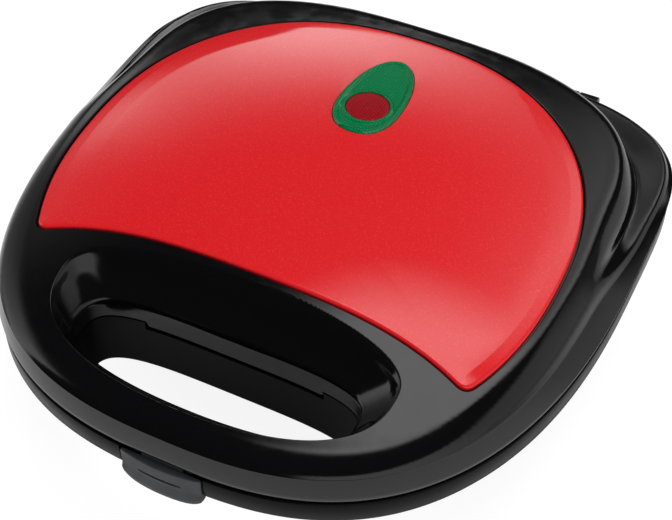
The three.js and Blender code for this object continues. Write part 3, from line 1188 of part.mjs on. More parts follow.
function latch() {
  const rings = [];
  for (let slice = 0; slice <= LATCH_SLICES; slice += 1) {
    const share = slice / LATCH_SLICES * 2 - 1;
    const bow = LATCH_BOW * share * share;
    const face = -LATCH_FACE + bow;
    const innerTop = -LATCH_BARREL_RADIUS - FIT_GAP;
    const innerLow = -LATCH_BARREL_RADIUS / 2;
    const bottom = -LATCH_LENGTH * (1 - LATCH_CORNER_SHARE * share ** LATCH_CORNER_POWER);
    rings.push([
      [face + LATCH_TOP / 2, LATCH_TOP],
      [face, LATCH_TOP / 2],
      [face, -LATCH_LENGTH / 2],
      [face - LATCH_LIP, bottom * LATCH_LIP_SHARE],
      [face - LATCH_LIP / 2, bottom * LATCH_ROUND_SHARE],
      [face + LATCH_HEEL, bottom],
      [innerLow, bottom],
      [innerLow, -LATCH_LENGTH / 2],
      [innerTop, -LATCH_BARREL_RADIUS - LATCH_TOP],
      [innerTop, LATCH_TOP],
    ].map(([y, z]) => new THREE.Vector3(LATCH_HALF_WIDTH * share, y, z)));
  }
  const plate = solidOf(loft(rings));
  const barrel = rodX(
    LATCH_BARREL_RADIUS, -LATCH_BARREL_HALF_LENGTH, LATCH_BARREL_HALF_LENGTH, 0, 0, SMALL_SIDES);
  const neck = block(
    -LATCH_BARREL_HALF_LENGTH, LATCH_BARREL_HALF_LENGTH,
    -LATCH_FACE / 2 - LATCH_BARREL_RADIUS / 2, 0, -LATCH_BARREL_RADIUS, LATCH_TOP / 2);
  const hook = block(
    -HOOK_HALF_WIDTH, HOOK_HALF_WIDTH, -LATCH_FACE / 2, HOOK_REACH, -HOOK_DROP - HOOK_THICKNESS, -HOOK_DROP);
  const bore = rodX(
    LATCH_PIN_RADIUS + FIT_GAP, -LATCH_HALF_WIDTH - OVERRUN, LATCH_HALF_WIDTH + OVERRUN, 0, 0, SMALL_SIDES);
  const groove = block(
    -LATCH_GROOVE_HALF_WIDTH, LATCH_GROOVE_HALF_WIDTH,
    -LATCH_FACE - OVERRUN, -LATCH_FACE + LATCH_BOW / 2,
    -LATCH_GROOVE_DROP - LATCH_GROOVE_HEIGHT / 2, -LATCH_GROOVE_DROP + LATCH_GROOVE_HEIGHT / 2);
  return cutAway(
    joined(plate, solidOf(barrel), solidOf(neck), solidOf(hook)), solidOf(bore), solidOf(groove));
}

function hingePin(side) {
  const [x0, x1] = hingeSpan(side, HINGE_INNER_X, HINGE_LENGTH);
  return rodX(HINGE_PIN_RADIUS, x0, x1, 0, 0, SMALL_SIDES);
}

function latchPin() {
  const reach = LATCH_BARREL_HALF_LENGTH + FIT_GAP + LATCH_LUG_LENGTH;
  return rodX(LATCH_PIN_RADIUS, -reach, reach, 0, 0, SMALL_SIDES);
}

// Finishes

function finish(color, roughness, metalness) {
  return () => new THREE.MeshStandardMaterial({ color, roughness, metalness });
}

const glossBlack = finish(0x0a0a0c, 0.12, 0);
const innerBlack = finish(0x121214, 0.5, 0);
const metallicRed = finish(0xc81822, 0.28, 0.55);
const greenGlass = finish(0x118a4c, 0.2, 0);
const redGlass = finish(0xa3202a, 0.25, 0);
const latchGrey = finish(0x3a3d42, 0.42, 0);
const nonStick = finish(0x1b1b1d, 0.4, 0.1);
const steel = finish(0xb9bcc0, 0.3, 1);
const sheetMetal = finish(0xc9ccce, 0.35, 0.9);
const rubber = finish(0x151515, 0.8, 0);
const cream = finish(0xe8e2d0, 0.5, 0);
const lampGlass = finish(0xffc9a0, 0.1, 0);
const wireGrey = finish(0x4a4a4e, 0.6, 0);

function piece(name, shape, makeFinish) {
  const geometry = shape.isBufferGeometry ? shape : geometryOf(shape);
  const mesh = new THREE.Mesh(geometry, makeFinish());
  mesh.name = name;
  return mesh;
}

function placed(mesh, x, y, z) {
  mesh.position.set(x, y, z);
  return mesh;
}

// Assembly

const base = new THREE.Group();
base.add(
  piece('base_shell', baseShell(), glossBlack),
  piece('lower_inner_frame', innerFrame(false), innerBlack),
  piece('lower_plate', sandwichPlate(), nonStick),
  piece('lower_heating_element', heatingElement(), steel),
  piece('lower_reflector', reflector(), sheetMetal),
  piece('lower_thermostat', thermostat(), steel),
  piece('thermal_fuse', rodX(
    FUSE_RADIUS, -FUSE_LENGTH / 2, FUSE_LENGTH / 2, FUSE_Y,
    PAN_BOTTOM_Z - FIT_GAP - FUSE_RADIUS, SMALL_SIDES), cream),
  piece('terminal_block', terminalBlock(), cream),
  piece('cord_inlet_grommet', cordInlet(), rubber),
  piece('lower_wiring', lowerWires(), wireGrey),
);
CORNER_NAMES.forEach((corner, i) => {
  const [footX, footY] = FOOT_PLACES[i];
  base.add(
    placed(piece(`foot_${corner}`, foot(), rubber), footX, footY, 0),
    piece(`base_screw_${corner}`, housingScrew(BASE_SCREW_PLACES[i]), steel),
    piece(`lower_plate_screw_${corner}`, plateScrew(PLATE_SCREW_PLACES[i]), steel),
  );
});
HINGE_SIDES.forEach((side, i) => {
  const pin = piece(`hinge_pin_${SIDE_NAMES[i]}`, hingePin(side), steel);
  base.add(placed(pin, 0, HINGE_Y, HINGE_Z));
});

const lid = new THREE.Group();
lid.add(
  piece('lid_shell', lidShell(), glossBlack),
  piece('top_panel', topPanel(), metallicRed),
  piece('ready_lens_green', greenLens(), greenGlass),
  piece('power_lens_red', redLens(), redGlass),
  piece('lamp_holder', lampHolder(), cream),
  piece('power_neon_lamp', neonLamp(LAMP_PLACES[0]), lampGlass),
  piece('ready_neon_lamp', neonLamp(LAMP_PLACES[1]), lampGlass),
  piece('upper_inner_frame', flipped(geometryOf(innerFrame(true))), innerBlack),
  piece('upper_plate', flipped(geometryOf(sandwichPlate())), nonStick),
  piece('upper_heating_element', flipped(heatingElement()), steel),
  piece('upper_reflector', flipped(geometryOf(reflector())), sheetMetal),
  piece('upper_thermostat', flipped(geometryOf(thermostat())), steel),
  piece('upper_wiring', upperWires(), wireGrey),
  placed(piece('latch_pin', latchPin(), steel), 0, LATCH_Y, LATCH_Z),
);

CORNER_NAMES.forEach((corner, i) => {
  lid.add(
    piece(`lid_screw_${corner}`, lidScrew(LID_SCREW_PLACES[i]), steel),
    piece(`upper_plate_screw_${corner}`, flipped(plateScrew(PLATE_SCREW_PLACES[i])), steel),
  );
});
SIDE_NAMES.forEach((side, i) => {
  lid.add(piece(`lamp_holder_screw_${side}`, holderScrew(HOLDER_POSTS[i]), steel));
});

const latchGroup = new THREE.Group();
latchGroup.add(piece('latch', latch(), latchGrey));
latchGroup.position.set(0, LATCH_Y, LATCH_Z);

const product = new THREE.Group();
product.add(base, lid, latchGroup);

// The origin is the middle of the footprint, so the whole is shifted along its depth
product.updateMatrixWorld(true);
const extent = new THREE.Box3().setFromObject(product);
product.position.y = -(extent.min.y + extent.max.y) / 2;

export default product;
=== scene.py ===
# %% [markdown]
# # A two-slice sandwich maker
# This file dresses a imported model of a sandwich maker: two black halves on a rear hinge, a red
# painted panel on the lid, a handle through both halves and a small latch at the front.
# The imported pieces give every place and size. Here the pieces that show get a fine, rounded
# surface and a finish, and everything stays in the same frame, so nothing has to be fitted.

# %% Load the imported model
import json
import math

import bmesh
import bpy
import numpy as np
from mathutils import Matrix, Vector

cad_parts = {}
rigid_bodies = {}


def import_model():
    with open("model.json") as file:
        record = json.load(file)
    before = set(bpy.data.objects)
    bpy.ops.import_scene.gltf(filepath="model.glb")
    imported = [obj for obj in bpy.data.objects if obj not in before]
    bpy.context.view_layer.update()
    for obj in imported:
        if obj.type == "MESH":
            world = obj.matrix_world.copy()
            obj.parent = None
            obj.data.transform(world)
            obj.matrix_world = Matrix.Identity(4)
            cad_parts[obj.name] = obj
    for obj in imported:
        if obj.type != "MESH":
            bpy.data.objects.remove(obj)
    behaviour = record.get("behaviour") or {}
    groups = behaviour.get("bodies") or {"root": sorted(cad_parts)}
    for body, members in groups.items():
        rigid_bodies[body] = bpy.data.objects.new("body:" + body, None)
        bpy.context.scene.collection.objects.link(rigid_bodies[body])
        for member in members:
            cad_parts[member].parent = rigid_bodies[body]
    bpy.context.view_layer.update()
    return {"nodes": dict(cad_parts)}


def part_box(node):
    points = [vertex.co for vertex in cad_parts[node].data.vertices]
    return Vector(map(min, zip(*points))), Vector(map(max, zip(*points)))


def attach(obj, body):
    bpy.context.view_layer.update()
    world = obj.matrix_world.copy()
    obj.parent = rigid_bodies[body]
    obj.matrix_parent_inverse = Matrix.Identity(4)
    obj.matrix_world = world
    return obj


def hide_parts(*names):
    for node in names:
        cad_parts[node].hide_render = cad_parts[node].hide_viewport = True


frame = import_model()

# %% [markdown]
# ## Outline of the body
# Seen from above the maker is a D: a long rounded front and a squarer rear. Two superellipse
# arcs describe it well, because one power each sets how square the front and the rear are.
# Drawing it by hand as a curve would work too, but a formula can be asked for any direction.
# Lengths are millimetres from the widest line, the waist, as on the maker's drawing.

# %% Sizes of the body
MM = 0.001
WAIST_Y = 30.35
BODY_HALF_WIDTH = 115.9
FRONT_REACH = 148.4
REAR_REACH = 86.5
BODY_POWERS = (2.58, 4.3)
PARTING_Z = 53.5
LID_TOP_Z = 82.5
BASE_TOP_Z = 52.7
WALL = 2.6
DOME_SIDE_DROP = 10.2
DOME_FRONT_DROP = 19.2
DOME_TOP_Y = -15


def reach(angle, half_width, front, rear, front_power, rear_power):
    """Distance from the waist's centre to an outline, in the direction of an angle."""
    at_rear = np.sin(angle) >= 0
    along = np.where(at_rear, rear, front)
    power = np.where(at_rear, rear_power, front_power)
    side = (np.abs(np.cos(angle)) / half_width) ** power
    return (side + (np.abs(np.sin(angle)) / along) ** power) ** (-1 / power)


def body_reach(angle):
    return reach(angle, BODY_HALF_WIDTH, FRONT_REACH, REAR_REACH, *BODY_POWERS)


def dome_height(x, y):
    """The lid's top is a shallow dome that falls to the sides and to the front."""
    side, along = x / BODY_HALF_WIDTH, (y - DOME_TOP_Y) / FRONT_REACH
    return LID_TOP_Z - DOME_SIDE_DROP * side ** 2 - DOME_FRONT_DROP * along ** 2


print("body:", 2 * BODY_HALF_WIDTH, "x", FRONT_REACH + REAR_REACH, "mm")

# %% [markdown]
# ## Tools for making pieces
# Most pieces are skins over rows of points, so a few small helpers are enough: one joins
# rows into faces, one makes the object, and one cuts or joins closed pieces. The cuts use
# the manifold solver, which is quick on dense closed meshes and keeps them closed.

# %% Skins over rows of points


def circle(count):
    return np.linspace(0, 2 * math.pi, count, endpoint=False)


def lifted(x, y, z):
    """Plan points as rows of three, at one height or at one height each."""
    return np.column_stack([x, y, np.zeros(len(x)) + z])


def placed(name, data):
    """An object for a mesh, a lamp or a camera, put into the scene."""
    made = bpy.data.objects.new(name, data)
    bpy.context.scene.collection.objects.link(made)
    return made


def joined_rows(rows, count, loop_closed=False):
    """Four-sided faces between closed rows of equal length."""
    faces = []
    for row in range(rows if loop_closed else rows - 1):
        here, above = row * count, ((row + 1) % rows) * count
        for col in range(count):
            after = (col + 1) % count
            faces.append((here + col, here + after, above + after, above + col))
    return faces


def new_piece(name, points, faces, smooth_angle=35.0):
    """A mesh object from points in millimetres, with its faces turned outwards."""
    place = np.array(points, float)
    place[:, 1] += WAIST_Y
    mesh = bpy.data.meshes.new(name)
    mesh.from_pydata((place * MM).tolist(), [], faces)
    work = bmesh.new()
    work.from_mesh(mesh)
    bmesh.ops.remove_doubles(work, verts=work.verts, dist=1e-7)
    bmesh.ops.dissolve_degenerate(work, edges=work.edges, dist=1e-8)
    if work.calc_volume(signed=True) < 0:
        bmesh.ops.reverse_faces(work, faces=work.faces)
    work.to_mesh(mesh)
    work.free()
    piece = placed(name, mesh)
    soften(piece, smooth_angle)
    return piece


def soften(piece, degrees):
    """Smooth shading that stops at edges sharper than the given angle."""
    piece.data.shade_smooth()
    piece.data.set_sharp_from_angle(angle=math.radians(degrees))


def skin(name, rows, smooth_angle=35.0):
    """A closed skin over rings of points, with a fan of faces at both ends."""
    rows = np.array(rows, float)
    levels, count, _ = rows.shape
    points = rows.reshape(-1, 3).tolist()
    faces = joined_rows(levels, count)
    for level, order in ((0, -1), (levels - 1, 1)):
        middle = len(points)
        points.append(rows[level].mean(axis=0).tolist())
        for col in range(count):
            pair = (level * count + col, level * count + (col + 1) % count)
            faces.append((middle, *pair[::order]))
    return new_piece(name, points, faces, smooth_angle)


def closed_ring(name, columns, smooth_angle=35.0):
    """Closed sections set side by side all the way round, with no ends to close."""
    rows = np.array(columns)
    faces = joined_rows(*rows.shape[:2], loop_closed=True)
    return new_piece(name, rows.reshape(-1, 3), faces, smooth_angle)


print("helpers for skins are ready")

# %% Cutting, joining and baking


def baked(piece, smooth_angle=None):
    """Turns a piece with modifiers into a plain mesh."""
    view = bpy.context.evaluated_depsgraph_get()
    mesh = bpy.data.meshes.new_from_object(piece.evaluated_get(view))
    piece.modifiers.clear()
    old = piece.data
    piece.data = mesh
    mesh.name = piece.name
    bpy.data.meshes.remove(old)
    if smooth_angle is not None:
        soften(piece, smooth_angle)
    return piece


def carved(piece, tools, how="DIFFERENCE", smooth_angle=35.0):
    """Cuts tools out of a piece, or joins them to it, and throws the tools away."""
    for tool in tools:
        step = piece.modifiers.new("carve", "BOOLEAN")
        step.operation = how
        step.solver = "MANIFOLD"
        step.object = tool
    bpy.context.view_layer.update()
    baked(piece, smooth_angle)
    for tool in tools:
        bpy.data.objects.remove(tool)
    return piece


def rod(name, axis, radius, start, end, centre, sides=48, round_edge=0.0):
    """A round bar along X, Y or Z, with softened ends."""
    turn = circle(sides)
    if round_edge:
        steps = [(round_edge, 0), (round_edge * 0.3, round_edge * 0.3), (0, round_edge)]
        rings = [(radius - a, start + b) for a, b in steps] + [(radius - a, end - b) for a, b in steps[::-1]]
    else:
        rings = [(radius, start), (radius, end)]
    rows = []
    for size, along in rings:
        across, up, level = size * np.cos(turn), size * np.sin(turn), np.full(sides, along)
        if axis == "X":
            rows.append(np.stack([level, centre[0] + across, centre[1] + up], axis=1))
        elif axis == "Y":
            rows.append(np.stack([centre[0] + across, level, centre[1] + up], axis=1))
        else:
            rows.append(np.stack([centre[0] + across, centre[1] + up, level], axis=1))
    return skin(name, rows, smooth_angle=40.0)


def block(name, x, y, z):
    """A plain block between two corners, for cuts and small arms."""
    points = [(a, b, c) for c in z for a, b in ((x[0], y[0]), (x[1], y[0]), (x[1], y[1]), (x[0], y[1]))]
    faces = [(3, 2, 1, 0), (4, 5, 6, 7), (0, 1, 5, 4), (1, 2, 6, 5), (2, 3, 7, 6), (3, 0, 4, 7)]
    return new_piece(name, points, faces)


print("helpers for cuts are ready")

# %% [markdown]
# ## Smooth profiles
# The maker's drawing gives a profile as a few points. A monotone cubic runs through them
# without overshooting, so a shelf stays flat up to its crease. A spline through the points
# would bulge there, and straight lines would show facets.

# %% Profile curves


def through(stations, values, where):
    """A monotone cubic through values at stations, read at other places along them."""
    stations, values = np.asarray(stations, float), np.asarray(values, float)
    gaps = np.diff(stations)
    slopes = np.diff(values) / gaps
    tangents = np.zeros(len(values))
    tangents[0], tangents[-1] = slopes[0], slopes[-1]
    same = slopes[1:] * slopes[:-1] > 0
    left, right = 2 * gaps[1:] + gaps[:-1], gaps[1:] + 2 * gaps[:-1]
    safe = np.where(same, slopes[1:], 1), np.where(same, slopes[:-1], 1)
    tangents[1:-1] = np.where(same, (left + right) / (left / safe[1] + right / safe[0]), 0)
    where = np.clip(where, stations[0], stations[-1])
    part = np.clip(np.searchsorted(stations, where, side="right") - 1, 0, len(gaps) - 1)
    t = (where - stations[part]) / gaps[part]
    start, end = values[part], values[part + 1]
    pull, push = tangents[part] * gaps[part], tangents[part + 1] * gaps[part]
    blend = t * t * (3 - 2 * t)
    return start + (end - start) * blend + t * (1 - t) * ((1 - t) * pull - t * push)


def summed(steps):
    return np.concatenate([[0], np.cumsum(steps)])


def profile(points, steps):
    """A smooth run through profile points, evenly stepped along its length."""
    points = np.asarray(points, float)
    run = summed(np.linalg.norm(np.diff(points, axis=0), axis=1))
    where = np.linspace(0, run[-1], steps)
    return np.stack([through(run, points[:, 0], where), through(run, points[:, 1], where)], axis=1)


def rounded_corner(start, corner, end, t):
    return (1 - t) ** 2 * start + 2 * t * (1 - t) * corner + t * t * end


def mix(a, b, share):
    return a + (b - a) * share


def eased(low, high, value):
    share = np.clip((value - low) / (high - low), 0, 1)
    return share * share * (3 - 2 * share)


print("profile helper: middle of an S curve =", round(float(through([0, 1, 2], [0, 1, 1], 1.5)), 3))

# %% [markdown]
# ## Side of the lid
# At the front and the sides a light band rises from the parting line and a fillet rolls over
# into the dome. At the two rear corners the oval crown pulls in, and leaves a lower shelf with
# a crease behind it. A table of heights over angle and inset holds both shapes and the blend
# between them, so any later piece can ask for the height at a place.

# %% Table of the lid's outer heights
BAND_TOP_Z = PARTING_Z + 11.5
INSET_STEP = 0.1
ANGLE_STEP = 0.5
TABLE_INSETS = np.arange(0, 60.01, INSET_STEP)
TABLE_ANGLES = np.radians(np.arange(-180, 180.01, ANGLE_STEP))
# an oval is its half width, its reach to the front and the rear, and the powers of both
CROWN = (106, 106, 85, 2.75, 2.75)
CREST = (97.7, 97.7, 71.4, 3.2, 3.2)
# a fillet is the inset where it starts and the one where it ends
FILLET = (1.5, 11.0)
SIDE_FILLET = (6.3, 15.0)
SHELF_RISE = 0.6


def lid_side(angle):
    """Inset and height of the side's points at one angle."""
    edge, crown, crest = (float(far) for far in (body_reach(angle), reach(angle, *CROWN), reach(angle, *CREST)))
    climb = math.degrees(math.asin(math.sin(angle)))
    beside, shoulder, corner = (float(eased(low, high, climb)) for low, high in ((-64, -14), (-17, 9), (8, 34)))
    shelf_z = PARTING_Z + mix(7.6, 4.4, corner)
    lip = mix(5.2, 3.2, corner)
    shelf = max(edge - crown, lip + 0.7)
    wall = max(edge - crest - shelf, 4.0)
    rolled_start, rolled_end = (mix(a, b, beside) for a, b in zip(FILLET, SIDE_FILLET))
    last = mix(rolled_end, shelf + wall, shoulder)
    x, y = (edge - last) * math.cos(angle), (edge - last) * math.sin(angle)
    top = dome_height(x, y)
    out = [0, 0.08, 0.2, 0.38, 0.62, 0.82, 1]
    up = [0, 0.2, 0.4, 0.6, 0.8, 0.92, 1]
    rolled = [(mix(rolled_start, rolled_end, a), mix(BAND_TOP_Z, top, b)) for a, b in zip(out, up)]
    stepped = [(lip - 1.8, shelf_z - 2.2)]
    stepped += [(mix(lip, shelf, s), shelf_z + SHELF_RISE * s) for s in (0, 0.45, 1)]
    crease_z = shelf_z + SHELF_RISE
    stepped += [(shelf + wall * a, mix(crease_z, top, b)) for a, b in ((0.14, 0.31), (0.45, 0.65), (1, 1))]
    return np.array([mix(np.array(a), np.array(b), shoulder) for a, b in zip(rolled, stepped)])


SMOOTHINGS = 6


def outer_row(angle):
    """Heights over the table's insets at one angle, from the band's top inwards."""
    points = lid_side(angle)
    edge = float(body_reach(angle))
    inward = points[-1, 0] + np.array([4.0, 8.0])
    x, y = (edge - inward) * math.cos(angle), (edge - inward) * math.sin(angle)
    run = profile(np.vstack([points, np.stack([inward, dome_height(x, y)], axis=1)]), 160)
    heights = np.interp(TABLE_INSETS, run[:, 0], run[:, 1])
    far = TABLE_INSETS > inward[0]
    x, y = (edge - TABLE_INSETS) * math.cos(angle), (edge - TABLE_INSETS) * math.sin(angle)
    return np.where(far, dome_height(x, y), heights)


outer_table = np.array([outer_row(a) for a in TABLE_ANGLES])
for _ in range(SMOOTHINGS):
    ring = np.vstack([outer_table[-2], outer_table, outer_table[1]])
    outer_table = (ring[:-2] + 2 * ring[1:-1] + ring[2:]) / 4
    outer_table[:, 1:-1] = (outer_table[:, :-2] + 2 * outer_table[:, 1:-1] + outer_table[:, 2:]) / 4
band_top = np.array([lid_side(a)[0] for a in TABLE_ANGLES])


def outer_height(x, y, inward=0.0):
    """Height of the lid's outside over a plan point, read nearer the edge by a margin."""
    angle, far = np.arctan2(y, x), np.hypot(x, y)
    edge = body_reach(angle)
    inset = edge - far - inward
    col = np.clip(inset / INSET_STEP, 0, len(TABLE_INSETS) - 1.001)
    row = np.clip((angle - TABLE_ANGLES[0]) / math.radians(ANGLE_STEP), 0, len(TABLE_ANGLES) - 1.001)
    r0, c0 = row.astype(int), col.astype(int)
    fr, fc = row - r0, col - c0
    low = outer_table[r0, c0] * (1 - fc) + outer_table[r0, c0 + 1] * fc
    high = outer_table[r0 + 1, c0] * (1 - fc) + outer_table[r0 + 1, c0 + 1] * fc
    shrink = np.clip((edge - inward) / edge, 0, 1)
    return np.where(inset > 50, dome_height(x * shrink, y * shrink), low * (1 - fr) + high * fr)


print("height table:", outer_table.shape, "lowest", round(float(outer_table.min()), 2))

# %% [markdown]
# ## Handle recess
# The hand goes into a scooped recess that narrows to a slot through both halves. Each level of
# the scoop is an oval ring, and the rear climbs at its own rate. Rays from the slot's centre
# cross every ring once, so the recess becomes heights along rays, and a soft minimum against
# the dome rounds the rim as a moulded edge is rounded.

# %% Rays and rings of the handle
RAYS = 520
SLOT_Y = -113.0
SCOOP_FLOOR_Z = PARTING_Z + 8.0
SCOOP_RISE = 17.0
# each pair holds the value at the slot and the value at the rim
OPENING_CENTRE = (SLOT_Y, -105.0)
OPENING_FRONT = (-130.0, -136.8)
OPENING_REAR = (-97.0, -83.5)
OPENING_HALF_WIDTH = (54.0, 64.3)
OPENING_POWERS = ((2.3, 2.2), (3.8, 2.7))


def oval(turn, half_width, front, rear, front_power, rear_power):
    """Plan points of a superellipse whose front and rear halves differ."""
    at_rear = np.sin(turn) >= 0
    power = 2 / np.where(at_rear, rear_power, front_power)
    across, along = (np.sign(value) * np.abs(value) ** power for value in (np.cos(turn), np.sin(turn)))
    return half_width * across, np.where(at_rear, rear, front) * along


def handle_ring(side, rear, extra, turn):
    """Plan points of the handle opening between the slot and the rim."""
    centre = mix(*OPENING_CENTRE, side)
    front = centre - mix(*OPENING_FRONT, side) + extra
    back = mix(*OPENING_REAR, rear) - centre + extra
    powers = [mix(*pair, min(share, 1)) for pair, share in zip(OPENING_POWERS, (side, rear))]
    x, y = oval(turn, mix(*OPENING_HALF_WIDTH, side) + extra, front, back, *powers)
    return x, centre + y


def ray_lengths(x, y, rays):
    """How far each ray from the slot's centre runs before it meets a closed outline."""
    heading, far = np.arctan2(y - SLOT_Y, x), np.hypot(x, y - SLOT_Y)
    order = np.argsort(heading)
    heading, far = heading[order], far[order]
    heading = np.concatenate([heading - 2 * math.pi, heading, heading + 2 * math.pi])
    return np.interp(rays, heading, np.tile(far, 3))


def spread_rays(count):
    """Ray headings, shared out so that the body's edge and the slot both get even steps."""
    fine = np.linspace(-math.pi, math.pi, 7201)
    turn = circle(7200)
    body = body_reach(turn)
    weight = 0.35 * np.linspace(0, 1, len(fine))
    for share, (x, y) in ((0.4, (body * np.cos(turn), body * np.sin(turn))), (0.25, handle_ring(0, 0, 0, turn))):
        far = ray_lengths(x, y, fine)
        run = summed(np.hypot(np.diff(far * np.cos(fine)), np.diff(far * np.sin(fine))))
        weight = weight + share * run / run[-1]
    return np.interp(np.linspace(0, 1, count, endpoint=False), weight, fine)


rays = spread_rays(RAYS)
levels = np.linspace(0, 6, 91)
scoop_table = np.array([
    [0, 0, 0], [0.22, 0.12, 0.1], [0.5, 0.3, 0.24], [0.88, 0.55, 0.48],
    [1.08, 0.8, 0.76], [1.2, 1, 1], [1.35, 1.15, 1.7],
])
side_share, rear_share, depth_share = (through(np.arange(7), scoop_table[:, i], levels) for i in range(3))
scoop_reach = np.array([
    ray_lengths(*handle_ring(s, r, 0, circle(2880)), rays) for s, r in zip(side_share, rear_share)
])
scoop_z = SCOOP_FLOOR_Z + SCOOP_RISE * depth_share
slot_reach = scoop_reach[0]
print("rays:", RAYS, "scoop levels:", len(levels), "slot reach", round(float(slot_reach.min()), 1), "to",
      round(float(slot_reach.max()), 1), "mm")

# %% [markdown]
# ## Lid shell
# Every ray now carries one closed profile: up the slot wall, over the scoop and the dome, down
# the band, round the lower edge and back along the inside of the wall. Joined side by side the
# profiles make a closed ring-shaped shell, with no poles and no seams to close.

# %% Profiles of the lid
TOP_STEPS = 96
INNER_STEPS = 26
SLOT_LIP = 2.0
RIM_SOFTNESS = 2.6
ROOF_DROP = 4.4
LOW_ROOF_Z = PARTING_Z + 5.3
THIN_ROOF = 1.2
BAND_BULGE = 3.1
TONGUE = 2.5
TONGUE_HALF_WIDTH = 34.4


def soft_min(a, b, width):
    share = np.clip(0.5 + 0.5 * (b - a) / width, 0, 1)
    return mix(b, a, share) - width * share * (1 - share)


def evenly(points, steps, sharpness):
    """Resamples a run so that bends get more points than straight stretches."""
    leg = np.diff(points, axis=0)
    size = np.linalg.norm(leg, axis=1)
    heading = np.unwrap(np.arctan2(leg[:, 1], leg[:, 0]))
    bend = np.abs(np.gradient(heading))
    run = summed(size + sharpness * bend)
    where = np.linspace(0, run[-1], steps)
    return np.stack([np.interp(where, run, points[:, i]) for i in range(2)], axis=1)


def inset_at(x, y):
    return body_reach(np.arctan2(y, x)) - np.hypot(x, y)


def lid_profile(i):
    """Outer profile on one ray, with the outline's angle and reach where it ends, and the ray's plan points."""
    heading = rays[i]
    cos, sin = math.cos(heading), math.sin(heading)
    start = slot_reach[i]
    fine = np.concatenate([np.linspace(start, start + 34, 240), np.linspace(start + 34.5, 330, 900)])
    x, y = fine * cos, SLOT_Y + fine * sin
    rim_inset = np.interp(np.arctan2(y, x), TABLE_ANGLES, band_top[:, 0])
    outside = np.argmax(fine > start + 4)
    end = np.interp(0, (rim_inset - inset_at(x, y))[outside:], fine[outside:])
    fine = fine[fine < end - 0.02]
    fine = np.append(fine, end)
    x, y = fine * cos, SLOT_Y + fine * sin
    scoop = np.interp(fine, scoop_reach[:, i], scoop_z, right=120.0)
    top = soft_min(scoop, outer_height(x, y), RIM_SOFTNESS)
    first = np.searchsorted(fine, start + SLOT_LIP)
    t = np.linspace(0, 1, 12)[:-1, None]
    corner = np.array([start, SCOOP_FLOOR_Z + 0.4])
    low = np.array([start, SCOOP_FLOOR_Z - SLOT_LIP])
    high = np.array([fine[first], top[first]])
    flat = np.stack([fine[first:], top[first:]], axis=1)
    over = evenly(np.vstack([rounded_corner(low, corner, high, t), flat]), TOP_STEPS, 6.0)
    angle = math.atan2(SLOT_Y + end * sin, end * cos)
    return over, angle, float(body_reach(angle)), (fine, x, y)


def band_top_z(angle):
    return float(np.interp(angle, TABLE_ANGLES, band_top[:, 1]))


def band_points(angle):
    """Inset and height from just under the band's top down to the lid's lower edge."""
    inset = float(np.interp(angle, TABLE_ANGLES, band_top[:, 0]))
    high = band_top_z(angle)
    bulge = min(BAND_BULGE, high - PARTING_Z - 0.9)
    side = [(mix(inset, 0, s) - 0.12 * math.sin(math.pi * s), mix(high, PARTING_Z + bulge, s)) for s in
            (0.03, 0.08, 0.2, 0.4, 0.6, 0.8, 0.92)]
    side += [(out, PARTING_Z + bulge * share) for out, share in ((0, 1), (0.06, 0.74), (0.3, 0.39), (0.62, 0.16))]
    return side + [(1.2, PARTING_Z), (WALL, PARTING_Z), (WALL, PARTING_Z + 2.0)]


def tongue_drop(x, y):
    """The rear wall of the slot hangs lower over its middle, where it laps the base."""
    near_wall = eased(-101.0, -99.5, y)
    return TONGUE * near_wall * (1 - eased(TONGUE_HALF_WIDTH, TONGUE_HALF_WIDTH + 1, np.abs(x)))


def lid_shell():
    columns = []
    for i in range(RAYS):
        over, angle, edge, (fine, x, y) = lid_profile(i)
        cos, sin = math.cos(rays[i]), math.sin(rays[i])
        start = slot_reach[i]
        foot = PARTING_Z - float(tongue_drop(start * cos, SLOT_Y + start * sin))
        wall = [(start, mix(foot, SCOOP_FLOOR_Z - SLOT_LIP, s)) for s in (0.02, 0.1, 0.5)]
        column = [(r * cos, SLOT_Y + r * sin, z) for r, z in [(start + 0.35, foot), *wall, *over]]
        column += [((edge - a) * math.cos(angle), (edge - a) * math.sin(angle), z) for a, z in band_points(angle)]
        low_roof = np.minimum(LOW_ROOF_Z, outer_height(x, y) - THIN_ROOF)
        roof = np.maximum(outer_height(x, y, WALL) - ROOF_DROP, low_roof)
        under = np.interp(fine - WALL, scoop_reach[:, i], scoop_z, right=120.0)
        inner = np.minimum(roof, under)
        keep = (inset_at(x, y) > WALL + 0.05) & (fine > start + WALL)
        run = evenly(np.stack([fine[keep], inner[keep]], axis=1), INNER_STEPS, 4.0)[::-1]
        columns.append(column + [(r * cos, SLOT_Y + r * sin, z) for r, z in [*run, (start + WALL, foot)]])
    return closed_ring("lid_outer_shell", columns, 38.0)


lid = lid_shell()
lid_height = max(v.co.z for v in lid.data.vertices) / MM
print("lid shell:", len(lid.data.vertices), "points,", round(lid_height, 2), "mm high")

# %% [markdown]
# ## Painted panel and its seat
# The red panel is a thin sheet that follows the dome: an oval whose front is cut along an
# arch. Its outline is drawn flat, its section is stacked flat as well, and then a small
# node tree lays it on the dome by the dome's own rule. The indicator lenses use the same
# tree, so all three pieces sit on one surface however the dome is changed.

# %% Node tree that lays flat pieces on the dome


def socket(tree, name, kind="NodeSocketFloat", way="INPUT", value=None):
    made = tree.interface.new_socket(name, in_out=way, socket_type=kind)
    if value is not None:
        made.default_value = value
    return made


def feed(tree, node, inputs):
    """Gives a node its inputs: a socket is linked and a value is written."""
    for place, value in inputs.items():
        if isinstance(value, bpy.types.NodeSocket):
            tree.links.new(value, node.inputs[place])
        else:
            node.inputs[place].default_value = value


